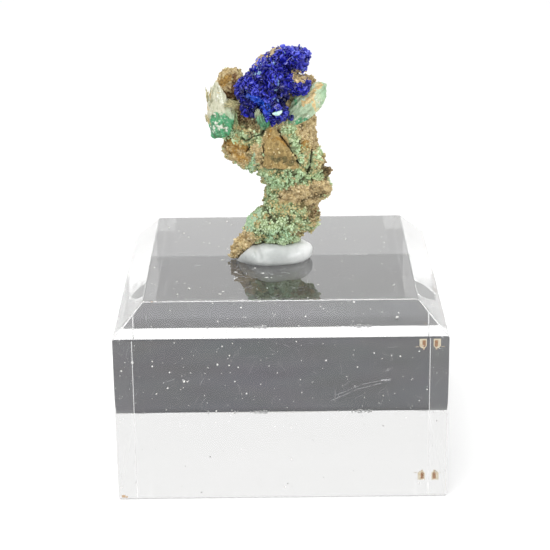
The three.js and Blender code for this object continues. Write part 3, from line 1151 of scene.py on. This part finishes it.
AZURITE_VALLEYS = (
    (-0.2, 35.8, 0.6, 34.6, 0.5, 0.9),
    (0.6, 34.6, 2.6, 34.6, 0.4, 0.8),
    (0.8, 34.4, 1.3, 33.0, 0.5, 0.9),
    (-1.2, 42.3, 1.5, 40.2, 0.35, 0.4),
    (1.5, 40.2, 3.8, 39.2, 0.5, 0.8),
    (5.2, 41.8, 4.4, 41.0, 0.3, 0.6),
    (-3.9, 32.6, -3.3, 30.8, 0.5, 0.7),
    (-5.9, 32.6, -5.0, 31.6, 0.5, 0.5),
    (-6.9, 35.9, -6.5, 34.9, 0.4, 0.5),
    (-2.8, 38.0, -2.4, 37.2, 0.4, 0.5),
    (0.5, 38.4, 1.0, 37.6, 0.3, 0.4),
)
AZURITE_NOTCH = (
    (3.6, 38.5, 7.4, 38.3, 0.5, 1.0),
)
CHIP_STROKES = (
    (-0.9, 31.9, 0.5, 32.1, 0.55, 1.0),
)
AZURITE_RIM = (
    (-7.2, 38.9, -3.4, 41.4, 0.45, 1.0),
    (-3.4, 41.4, 0.2, 43.2, 0.3, 0.8),
)
# name, spacing, smallest and largest crystal, first of three seeds
CRYSTAL_KINDS = (
    ("azurite_crystals", 0.6, 0.6, 1.15, 31),
    ("azurite_small_crystals", 0.36, 0.3, 0.65, 41),
)
CRYSTAL_TRIES = 9000


def make_rim_crumbs(mesh, bare):
    """Tan rock showing at the edges of the azurite and between two of its lobes."""
    places, normals, _ = spread_places(mesh, bare + 1e-5, spacing=0.30, tries=5000, seed=61)
    rng = np.random.default_rng(62)
    count = len(places)
    sizes = rng.uniform(0.35, 0.8, count)[:, None] * rng.uniform(0.7, 1.2, (count, 3))
    values = {
        "tint": rng.uniform(0.4, 1.0, count),
        "ochre": rng.uniform(0, 0.3, count),
        "dark": np.zeros(count),
        "umber": np.zeros(count),
    }
    shapes = [crumb(k + 9) for k in range(4)]
    turns = random_frames(rng, normals, 0.5)
    piece = joined_copies("rim_crumbs", shapes, places + normals * 0.2, turns, sizes, values, 63)
    finish_piece(piece, crumb_surface(), "matrix", "limonite_matrix")


def crystal_values(rng, places, raised, small):
    """The colours of azurite crystals: how light, how bright a blue, how shaded, and how pale, which paints
    glints.
    """
    count = len(places)
    h = height_above_block(places)
    front = places[:, 1] < 0
    # Painted light and shade: crystals on raised lumps and on the top lobe are lighter, and those on the
    # left lobe darker.
    tint = 0.65 * rng.random(count) ** 1.4 + soft_noise(places, 1.0) * 0.6 + 0.7 * (raised + 0.25)
    tint = tint + 0.15 + 0.2 * soft_step(h, 38.5, 41.5) - 0.1 * soft_step(-places[:, 0], 4.5, 6.0)
    shaded = painted_on(places, 0.0, AZURITE_VALLEYS + SHADED_STROKES, 0.8) * front
    shade = np.clip(shaded * rng.uniform(0.5, 1.0, count), 0, 0.85)
    # Painted glints: pale where the glint strokes lie, and on a few small crystals at random.
    glint = painted_on(places, 0.0, GLINT_STROKES, 0.2) * front
    pale = np.maximum(glint, 0.5 * (rng.random(count) > 0.97)) * small
    azure = painted_on(places, 0.0, AZURE_STROKES, 0.4) * front
    return {"tint": np.clip(tint, 0, 1), "azure": azure, "shade": shade, "pale": pale}


def make_azurite():
    piece = even_skin("azurite_body", merged_copy("azurite_cluster"), ROCK_CELL)
    mesh = piece.data
    points = points_of(mesh)
    front = 1 - soft_step(points[:, 1], -1.0, 1.0)
    carved = painted_on(points, 0.0, AZURITE_VALLEYS, 0.6) * front
    notch = painted_on(points, 0.0, AZURITE_NOTCH, 0.45)
    rim = painted_on(points, 0.0, AZURITE_RIM, 0.35) * soft_step(points[:, 1], -4.0, -2.5)
    lumps = soft_noise(points, 1.9, 2) * 0.85 + ridges(points, 1.2, 3) * 0.4 - 0.25
    amount = lumps - 1.3 * carved - notch * 1.2
    move_points(mesh, points + normals_of(mesh) * amount[:, None])
    body = simple_surface(
        "azurite body", 0.35, ("08092a", "17195e", 0.6), (0.6, 0.2), Specular_Tint=(0.5, 0.5, 1, 1)
    )
    finish_piece(piece, body, "azurite_cluster", "azurite")
    bare = np.clip(np.maximum(notch, rim), 0, 1)
    make_rim_crumbs(mesh, bare)

    chip_place = painted_on(points, 0.0, CHIP_STROKES, 0.2) * front
    growing = (1 - bare) * (1 - 0.9 * np.clip(carved, 0, 1)) * (1 - np.clip(chip_place, 0, 1)) + 0.0005
    surface = azurite_crystal_surface()
    shapes = [tablet(k) for k in range(8)]
    for name, spacing, smallest, largest, seed in CRYSTAL_KINDS:
        places, directions, nearest = spread_places(mesh, growing, spacing, CRYSTAL_TRIES, seed)
        rng = np.random.default_rng(seed + 1)
        count = len(places)
        swirl = np.stack([soft_noise(places + 17.0 * k, 1.5) for k in range(3)], axis=1)
        lean = directions + swirl * 1.5 + rng.normal(0, 0.32, (count, 3))
        width = rng.uniform(smallest, largest, count)
        flat = rng.uniform(0.22, 0.5, count)
        sizes = np.stack([width, width * flat, width * rng.uniform(0.9, 1.5, count)], axis=1)
        values = crystal_values(rng, places, amount[nearest], spacing < 0.5)
        turns = turned_frames(lean, soft_noise(places + 60.0, 1.8) * 6.0 + rng.normal(0, 0.4, count))
        crystals = joined_copies(name, shapes, places, turns, sizes, values, seed + 2)
        finish_piece(crystals, surface, "azurite_cluster", "azurite")


def make_pale_chip():
    """The pale crescent chip on the front."""
    bm = bmesh.new()
    bmesh.ops.create_uvsphere(bm, u_segments=24, v_segments=12, radius=0.5)
    for vert in bm.verts:
        x, y, z = vert.co
        z = z * (1.0 + 0.4 * x) + 1.3 * x * x
        vert.co = (x * 2.05, y * 1.0, z * 0.85)
    bmesh.ops.rotate(bm, verts=bm.verts, matrix=Matrix.Rotation(math.radians(-16), 3, "Y"))
    bmesh.ops.scale(bm, verts=bm.verts, vec=(MM, MM, MM))
    bmesh.ops.translate(bm, verts=bm.verts, vec=Vector((-0.15, -8.8, 32.0 + STONE_TOP)) * MM)
    chip = even_skin("pale_chip", bm, CHIP_CELL, 1)
    points = points_of(chip.data)
    rough = soft_noise(points, 0.5) * 0.06
    move_points(chip.data, points + normals_of(chip.data) * rough[:, None])
    surface = simple_surface("pale copper chip", 0.4, ("9fd0c4", "dff0e8", 0.5), (0.3, 0.1))
    finish_piece(chip, surface, "azurite_cluster", "azurite")


# Small blue crystals that stand by themselves under the cluster: x, y, height above the block.
LOOSE_CRYSTALS = (
    (2.3, -7.0, 30.6), (2.7, -6.9, 30.9), (2.0, -6.9, 30.8), (2.6, -7.1, 30.4), (1.8, -6.8, 31.1),
)


def make_loose_crystals():
    rng = np.random.default_rng(71)
    places = np.array(LOOSE_CRYSTALS) + (0, 0, STONE_TOP)
    count = len(places)
    sizes = rng.uniform(0.5, 0.8, (count, 3))
    values = {"tint": rng.uniform(0.0, 0.3, count)}
    for key in ("azure", "pale", "shade"):
        values[key] = np.zeros(count)
    turns = turned_frames(rng.normal(0, 1, (count, 3)), rng.uniform(0, 6, count))
    loose = joined_copies("loose_crystals", [tablet(k) for k in range(3)], places, turns, sizes, values, 72)
    finish_piece(loose, azurite_crystal_surface(), "azurite_cluster", "azurite")


# ---------------------------------------------------------------- the malachite blades and tuft
# Corners are x, y, height above the block. Strokes come with the value that they are laid over.
LEFT_CORNERS = (
    (-12.2, -4.2, 37.7), (-13.0, -4.3, 36.3), (-13.7, -4.3, 34.4), (-13.9, -4.3, 32.2), (-14.0, -4.4, 30.6),
    (-13.2, -4.7, 26.4), (-12.6, -4.9, 25.9), (-11.2, -5.2, 26.0), (-9.4, -5.2, 26.8), (-8.6, -5.1, 29.8),
    (-8.3, -4.9, 31.4), (-9.2, -4.7, 32.6), (-10.4, -4.4, 34.0), (-11.2, -4.3, 35.8), (-11.7, -4.2, 37.4),
    (-12.5, -5.6, 34.6), (-11.3, -6.2, 30.6), (-12.4, -5.9, 27.8), (-10.2, -5.9, 30.4), (-13.4, -5.5, 31.2),
    (-12.6, -2.6, 33.0), (-11.2, -2.2, 28.5), (-9.8, -2.4, 31.2), (-13.2, -2.6, 30.0),
)
RIGHT_CORNERS = (
    (1.2, -6.2, 28.9), (3.3, -6.4, 28.8), (5.8, -6.2, 30.0), (8.4, -5.6, 32.2), (9.4, -4.9, 34.2),
    (9.6, -4.3, 36.8), (7.9, -4.5, 37.2), (5.6, -4.6, 36.0), (3.0, -4.8, 34.4), (1.9, -5.4, 31.6),
    (4.6, -7.1, 31.6), (7.2, -6.5, 34.2), (4.4, -2.6, 31.0), (8.0, -2.4, 33.0), (8.6, -2.6, 36.0),
    (4.6, -2.8, 35.0),
)
TUFT_CORNERS = (
    (-4.3, -6.6, 32.2), (-3.6, -6.6, 31.8), (-2.0, -6.9, 30.0), (-1.5, -6.8, 29.3), (-2.3, -6.6, 28.5),
    (-3.3, -6.5, 29.0), (-4.3, -6.4, 30.0), (-3.6, -7.4, 30.9), (-2.6, -7.5, 29.6), (-3.0, -5.8, 30.0),
)
LEFT_STROKES = {
    "emerald": (0.0, (
        (-12.8, 27.4, -9.6, 27.8, 2.2, 1.0), (-12.6, 30.0, -10.6, 30.4, 0.8, 0.9),
        (-9.8, 29.6, -9.2, 29.8, 0.5, 0.9), (-12.0, 31.4, -11.6, 31.2, 0.4, 0.8),
    )),
    "mint": (0.15, ((-9.6, 31.0, -8.8, 29.0, 0.8, 0.8),)),
    "white": (0.1, (
        (-12.3, 31.4, -12.1, 31.2, 0.12, 0.7),
        (-12.2, 29.3, -11.3, 28.8, 0.3, 0.9),
        (-11.4, 28.6, -10.2, 28.1, 0.25, 0.85),
        (-10.3, 28.7, -9.6, 28.1, 0.2, 0.65),
        (-13.0, 28.8, -12.6, 27.8, 0.3, 0.65),
        (-11.6, 30.1, -11.5, 30.0, 0.12, 1.0),
        (-11.6, 35.4, -11.0, 33.4, 0.4, 0.5),
    )),
    "stain": (0.0, (
        (-13.7, 35.8, -13.8, 33.6, 0.7, 1.0), (-13.9, 33.0, -13.8, 32.0, 0.5, 0.7),
        (-14.0, 30.6, -13.9, 29.4, 0.4, 0.9), (-11.6, 35.2, -11.5, 35.1, 0.15, 0.7),
    )),
}
RIGHT_STROKES = {
    "emerald": (0.1, ((1.2, 29.4, 5.4, 30.0, 0.9, 0.62), (2.6, 32.6, 3.8, 33.8, 0.6, 0.5))),
    "mint": (0.75, ((8.6, 35.8, 9.2, 33.0, 0.8, 1.0),)),
    "white": (0.1, ((8.2, 33.4, 8.8, 32.4, 0.4, 0.5),)),
    "stain": (0.0, (
        (5.0, 33.2, 8.2, 36.6, 0.45, 0.9),
        (6.6, 34.4, 7.4, 31.8, 0.35, 0.8),
        (6.6, 33.2, 8.6, 33.6, 0.25, 0.7),
        (4.2, 34.6, 5.4, 35.6, 0.4, 0.7),
    )),
}
TUFT_STROKES = {
    "emerald": (0.75, ((-2.6, 30.2, -1.8, 29.2, 0.7, 1.0), (-4.2, 32.0, -3.6, 30.8, 0.3, 0.3))),
    "mint": (0.5, ()),
    "white": (0.0, ()),
    "stain": (0.0, ((-3.0, 29.0, -2.4, 28.6, 0.3, 0.6),)),
}


def hull(corners):
    """A solid with flat sides through the given corners (x, y, height), in millimetres."""
    bm = bmesh.new()
    for x, y, h in corners:
        bm.verts.new((x * MM, y * MM, h * MM + TOP))
    made = bmesh.ops.convex_hull(bm, input=bm.verts)
    spare = [v for v in made["geom_interior"] if isinstance(v, bmesh.types.BMVert)]
    bmesh.ops.delete(bm, geom=spare, context="VERTS")
    bmesh.ops.recalc_face_normals(bm, faces=bm.faces)
    return bm


def make_blade(name, corners, along, strokes, seed):
    """A glassy chunk with flat sides and ribs along its length."""
    piece = even_skin(name, hull(corners), BLADE_CELL, 3)
    mesh = piece.data
    points = points_of(mesh)
    length = points @ np.array(along)
    across = points - length[:, None] * along
    ribs = soft_noise(across + seed + length[:, None] * np.array(along) * 0.12, 0.55, 2)
    chips = ridges(points + seed, 1.1, 3)
    amount = ribs * 0.14 + soft_noise(points + seed, 2.2) * 0.2 + chips * 0.10
    move_points(mesh, points + normals_of(mesh) * amount[:, None])
    x_read = points[:, 0] + soft_noise(points + seed, 0.9) * 0.4
    h_read = height_above_block(points) + soft_noise(points + seed + 30.0, 0.9) * 0.5
    for key, (base, lines) in strokes.items():
        attribute(mesh, key, np.clip(painted(x_read, h_read, base, lines, 0.5), 0, 1))
    attribute(mesh, "relief", np.clip(0.55 + ribs * 0.5 + chips * 0.25, 0, 1))
    return piece


def make_blades():
    surface = blade_surface()
    left = make_blade("left_blade", LEFT_CORNERS, (-0.05, 0.0, 0.99), LEFT_STROKES, 3.0)
    finish_piece(left, surface, "left_malachite_blade", "malachite_blade")
    right = make_blade("right_blade", RIGHT_CORNERS, (0.73, 0.0, 0.68), RIGHT_STROKES, 9.0)
    finish_piece(right, surface, "right_malachite_blade", "malachite_blade")
    tuft = make_blade("tuft_body", TUFT_CORNERS, (0.6, 0.0, -0.8), TUFT_STROKES, 15.0)
    finish_piece(tuft, blade_surface(), "malachite_tuft", "malachite_tuft")


# Fans of fibres: foot (x, y, height), its spread, direction, its spread, length, width, count, and how
# sallow and how cream they are.
FANS = (
    ((-4.0, -7.5, 32.0), (0.2, 0.12, 0.3), (0.22, -0.10, -0.95), 0.14, 1.6, 0.15, 100, 0.3, 0.5),
    ((-3.7, -7.8, 31.0), (0.35, 0.12, 0.35), (0.35, -0.08, -0.9), 0.20, 1.5, 0.15, 120, 0.05, 0.1),
    ((-3.0, -7.7, 30.2), (0.45, 0.12, 0.35), (0.30, -0.05, -0.95), 0.25, 1.3, 0.15, 120, 0.0, 0.0),
    ((-8.5, -5.2, 33.0), (0.4, 0.3, 0.3), (-0.8, -0.3, 0.3), 0.3, 1.5, 0.15, 110, 1.0, 0.25),
    ((-8.9, -4.9, 31.6), (0.3, 0.3, 0.5), (0.2, -0.5, 0.7), 0.35, 1.1, 0.12, 34, 0.7, 0.1),
    ((-9.0, -4.7, 28.6), (0.25, 0.25, 0.8), (0.1, -0.5, 0.7), 0.35, 1.1, 0.13, 35, 0.2, 0.1),
    ((-12.6, -4.6, 34.8), (0.25, 0.3, 0.5), (0.05, 0.0, 1.0), 0.06, 1.8, 0.13, 60, 0.2, 1.0),
    ((-13.4, -4.7, 32.6), (0.15, 0.3, 0.8), (0.05, -0.1, 1.0), 0.06, 1.6, 0.13, 60, 0.4, 1.0),
    ((-13.85, -4.5, 34.3), (0.10, 0.3, 0.5), (0.03, -0.1, 1.0), 0.10, 0.8, 0.18, 46, 1.0, 0.3),
    ((-14.0, -4.5, 29.9), (0.10, 0.3, 0.3), (0.0, -0.1, 1.0), 0.12, 0.7, 0.20, 30, 1.0, 0.3),
    ((-8.3, -5.2, 30.2), (0.12, 0.2, 0.9), (0.2, -0.3, -0.9), 0.15, 1.5, 0.10, 34, 0.45, 0.0),
)


def fibre_fan(rng, foot, foot_spread, direction, direction_spread, length, width, count):
    """Places, directions and sizes of a fan of fibres."""
    roots = np.array(foot) + (0, 0, STONE_TOP) + rng.normal(0, 1, (count, 3)) * foot_spread
    ways = unit(np.array(direction) + rng.normal(0, 1, (count, 3)) * direction_spread)
    lengths = rng.uniform(0.6, 1.0, count) * length
    widths = rng.uniform(0.7, 1.3, count) * width
    return roots + ways * lengths[:, None] / 2, ways, np.stack([widths, widths, lengths], axis=1)


def make_fibres():
    rng = np.random.default_rng(51)
    surface = fibre_surface()
    shapes = [needle(k) for k in range(5)]
    for name, fans, node, slot in (
        ("tuft_fibres", FANS[:3], "malachite_tuft", "malachite_tuft"),
        ("blade_fibres", FANS[3:], "left_malachite_blade", "malachite_blade"),
    ):
        made = [fibre_fan(rng, *fan[:7]) for fan in fans]
        places, ways, sizes = (np.concatenate(part) for part in zip(*made))
        counts = [fan[6] for fan in fans]
        values = {
            "tint": rng.random(len(places)),
            "sallow": np.repeat([fan[7] for fan in fans], counts),
            "cream": np.repeat([fan[8] for fan in fans], counts),
        }
        piece = joined_copies(name, shapes, places, random_frames(rng, ways), sizes, values, 52, smooth=True)
        finish_piece(piece, surface, node, slot)


# ---------------------------------------------------------------- dust and damage on the block
FRONT = -31.76                      # just proud of the block's front face, in millimetres
# Each face of the block: the way out of it, a corner, its two edges in millimetres, its number of specks
# and how large they are.
SLOPE = 0.7071
BLOCK_FACES = (
    ((0, 0, 1), (-26.0, -26.0, 38.6), (52.0, 0, 0), (0, 52.0, 0), 150, 1.35),
    ((0, -SLOPE, SLOPE), (-27.0, -31.6, 33.15), (54.0, 0, 0), (0, 5.3, 5.3), 50, 1.0),
    ((0, SLOPE, SLOPE), (-27.0, 31.6, 33.15), (54.0, 0, 0), (0, -5.3, 5.3), 20, 1.1),
    ((0, -1, 0), (-31.2, -31.75, 14.5), (62.4, 0, 0), (0, 0, 18.0), 120, 0.9),
    ((0, -1, 0), (-31.2, -31.75, 0.5), (62.4, 0, 0), (0, 0, 14.0), 14, 0.9),
    ((0, 1, 0), (-31.2, 31.75, 0.5), (62.4, 0, 0), (0, 0, 32.0), 50, 0.9),
    ((-1, 0, 0), (-31.75, -31.2, 0.5), (0, 62.4, 0), (0, 0, 32.0), 40, 1.0),
    ((1, 0, 0), (31.75, -31.2, 0.5), (0, 62.4, 0), (0, 0, 32.0), 40, 1.0),
)
LARGE_SPECKS = (
    ((-12.0, -31.78, 27.9), 0.4), ((-18.4, -31.78, 24.5), 0.45), ((-9.8, -31.78, 27.7), 0.3),
    ((-8.1, -31.78, 27.3), 0.25), ((22.5, -31.78, 29.2), 0.3), ((-28.1, -31.78, 28.5), 0.45),
    ((-24.3, -31.78, 28.7), 0.25), ((-30.2, -31.78, 26.8), 0.35), ((-6.6, -31.78, 21.9), 0.3),
    ((22.0, -29.4, 36.2), 0.5),
)


def in_area(corner, first, second, u, v):
    return np.array(corner) + u * np.array(first) + v * np.array(second)


def face_frames(rng, side, count):
    """Frames whose upward axis leaves one of the block's faces."""
    return random_frames(rng, np.tile(np.array(side, dtype=float), (count, 1)))


def make_dust():
    """White specks on the top, the front and back bevels and the four sides, with a few larger flecks."""
    rng = np.random.default_rng(81)
    places, turns, sizes = [], [], []
    for way, corner, first, second, count, large in BLOCK_FACES:
        places.append(in_area(corner, first, second, *rng.random((2, count, 1))))
        turns.append(face_frames(rng, way, count))
        size = (0.14 + 0.24 * rng.random(count) ** 5) * large
        sizes.append(np.stack([size * rng.uniform(0.8, 2.0, count), size, size * 0.5], axis=1))
    places.append(np.array([place for place, _ in LARGE_SPECKS]))
    turns.append(face_frames(rng, (0, 0, 1), len(LARGE_SPECKS)))
    sizes.append(np.array([(size, size, size) for _, size in LARGE_SPECKS]))
    places, turns, sizes = (np.concatenate(part) for part in (places, turns, sizes))
    values = {"tint": rng.random(len(places))}
    dust = joined_copies("dust_specks", [crumb(k) for k in range(4)], places, turns, sizes, values, 82)
    surface = simple_surface("white dust", 0.8, ("cfcdca", "f2f1ee", 0.3))
    finish_piece(dust, surface, "display_block", "clear_acrylic")


# Scratches on the front (x, height, x, height, width), then on the top (x, y, x, y, width), in millimetres.
FRONT_SCRATCHES = (
    (9.4, 20.2, 14.6, 22.6, 0.07), (14.6, 22.6, 20.0, 24.0, 0.08), (10.4, 21.4, 15.6, 23.6, 0.06),
    (15.6, 23.6, 20.6, 24.6, 0.07), (18.6, 24.3, 20.6, 24.4, 0.22), (10.2, 20.0, 10.2, 22.2, 0.06),
    (10.8, 20.6, 10.9, 21.8, 0.05), (-22.0, 12.0, -18.0, 12.4, 0.03), (-6.0, 26.0, -5.0, 28.5, 0.03),
)
TOP_SCRATCHES = (
    (2.0, -20.0, 5.2, -18.6, 0.05), (5.2, -18.6, 5.4, -14.0, 0.04), (-17.2, -6.0, -16.2, -5.4, 0.22),
    (-21.0, 2.0, -15.0, 4.0, 0.03), (12.0, 10.0, 18.0, 13.0, 0.03),
)
SCRATCH_STEP = 0.35
# Fine hair-like marks: a corner of the area, its two edges, how many, and their width.
HAIRS = (
    ((-25.0, -25.0, 38.6), (50.0, 0, 0), (0, 30.0, 0), 50, 0.05),
    ((-12.0, -26.0, 38.6), (26.0, 0, 0), (0, 16.0, 0), 40, 0.07),
    ((-27.0, -31.4, 33.3), (54.0, 0, 0), (0, 5.0, 5.0), 34, 0.05),
    ((-30.0, -31.76, 15.0), (60.0, 0, 0), (0, 0, 17.0), 50, 0.04),
)
HAIR_STEP = 0.42


def scratch_parts(rng):
    """Straight scratches as broken rows of short marks: place, direction and size of each."""
    lines = [((x0, FRONT, z0), (x1, FRONT, z1), width) for x0, z0, x1, z1, width in FRONT_SCRATCHES]
    lines += [((x0, y0, 38.61), (x1, y1, 38.61), width) for x0, y0, x1, y1, width in TOP_SCRATCHES]
    for start, end, width in lines:
        along = np.array(end) - start
        run = np.linalg.norm(along)
        for step in np.arange(0, run, SCRATCH_STEP):
            if rng.random() < 0.8:
                jitter = rng.normal(0, 0.02, 3) * (1, 0.2, 1)
                place = start + along * (step + 0.2) / run + jitter
                way = along + rng.normal(0, 0.03, 3) * run
                yield place, way, (width * rng.uniform(0.6, 1.2), width * 0.6, rng.uniform(0.3, 0.6))


def hair_parts(rng):
    """Curling marks finer than a hair, each a few short pieces end to end."""
    for corner, first, second, count, width in HAIRS:
        along, up = unit(np.array([first, second]))
        for _ in range(count):
            place = in_area(corner, first, second, *rng.random(2))
            angle = rng.uniform(0, WHOLE_TURN)
            curl = rng.uniform(-0.25, 0.25)
            for _ in range(rng.integers(2, 6)):
                way = along * math.cos(angle) + up * math.sin(angle)
                yield place, way, (width * rng.uniform(0.5, 1.2), width * 0.6, 0.55)
                place = place + way * HAIR_STEP
                angle += curl


def make_scratches():
    rng = np.random.default_rng(91)
    parts = list(scratch_parts(rng)) + list(hair_parts(rng))
    places, ways, sizes = (np.array(part) for part in zip(*parts))
    turns = turned_frames(ways, np.zeros(len(ways)))
    values = {"tint": rng.random(len(places))}
    marks = joined_copies("scratches", [needle(0.0)], places, turns, sizes, values, 92, smooth=True)
    surface = simple_surface("pale scratches", 0.5, ("a4a5ac", "f4f4f6", 0.6))
    finish_piece(marks, surface, "display_block", "clear_acrylic")


def make_edge_chips():
    """Bruised acrylic along the lower back edge."""
    rng = np.random.default_rng(101)
    x = np.concatenate([rng.uniform(-6.8, -3.0, 16), rng.uniform(14.8, 19.5, 26), rng.uniform(-20, 26, 6)])
    count = len(x)
    places = np.stack([x, 31.70 - rng.uniform(0, 0.1, count), 0.12 + rng.uniform(0, 0.25, count)], axis=1)
    sizes = np.stack(
        [rng.uniform(0.15, 0.6, count), rng.uniform(0.1, 0.2, count), rng.uniform(0.08, 0.2, count)], axis=1
    )
    turns = np.tile(np.eye(3), (count, 1, 1))
    values = {"tint": rng.random(count)}
    chips = joined_copies("edge_chips", [crumb(k) for k in range(4)], places, turns, sizes, values, 102)
    surface = simple_surface("bruised acrylic", 0.5, ("dcdcdc", "ffffff", 0.3))
    finish_piece(chips, surface, "display_block", "clear_acrylic")


# Brown flecks of dirt: place, size, how brown.
BROWN_FLECKS = (
    ((30.25, 31.87, 15.3), (1.55, 0.06, 2.1), 0.0),
    ((30.45, 31.80, 15.3), (0.7, 0.06, 1.5), 0.95),
    ((29.0, 31.79, 14.6), (0.7, 0.05, 0.1), 0.3),
    ((30.4, 31.79, 14.1), (0.4, 0.05, 0.3), 0.4),
    ((-30.8, -31.78, 0.5), (0.7, 0.15, 0.5), 0.6),
    ((-30.2, -31.78, 0.35), (0.4, 0.1, 0.3), 0.6),
    ((-24.4, -26.2, 38.62), (0.25, 0.2, 0.1), 0.6),
    ((27.3, -30.4, 35.2), (0.18, 0.2, 0.1), 0.6),
)


def make_brown_flecks():
    places, sizes, browns = (np.array(part) for part in zip(*BROWN_FLECKS))
    turns = np.tile(np.eye(3), (len(places), 1, 1))
    flecks = joined_copies(
        "brown_flecks", [shield()], places, turns, sizes, {"tint": browns}, 103, smooth=True
    )
    material, tree, shader = new_material("brown dirt with painted glow", 0.5, Emission_Strength=0.6)
    pale = tones(tree, "ecd8b0", "fcf2dc", 0.5)
    tone = blend(tree, read(tree, "tint"), pale, tones(tree, "8c5424", "c88c4c", 0.5))
    # A flake this thin lets the light behind it through; that light is painted in as a glow in the flake's
    # own colour.
    tree.links.new(tone, shader.inputs["Emission Color"])
    tree.links.new(blend(tree, 0.7, tone, BLACK), shader.inputs["Base Color"])
    finish_piece(flecks, material, "display_block", "clear_acrylic")


# ---------------------------------------------------------------- the putty
def make_putty():
    piece = even_skin("putty_lump", merged_copy("mounting_putty"), PUTTY_CELL, 8)
    mesh = piece.data
    points = points_of(mesh)
    h = height_above_block(points)
    swell = soft_noise(points, 4.5) * 0.35 + soft_noise(points + 9.0, 1.6) * 0.06
    crease = 1 - soft_step(to_line(points[:, 0], h, (-4.8, 3.2), (-4.0, 1.6)), 0.1, 0.9)
    amount = 0.12 + swell * soft_step(h, 0.0, 1.0) - 0.25 * crease * (points[:, 1] < 0)
    moved = points + normals_of(mesh) * amount[:, None]
    moved[:, 2] = np.maximum(moved[:, 2], STONE_TOP - SUNK)
    move_points(mesh, moved)
    finish_piece(piece, putty_surface(), "mounting_putty", "white_putty")


make_camera()
make_stage()
make_lights()
make_block()
ROCK, MASKS = make_matrix()
make_granules(ROCK, MASKS)
make_crumbs(ROCK, MASKS)
make_azurite()
make_blades()
make_fibres()
make_pale_chip()
make_loose_crystals()
make_dust()
make_scratches()
make_edge_chips()
make_brown_flecks()
make_putty()
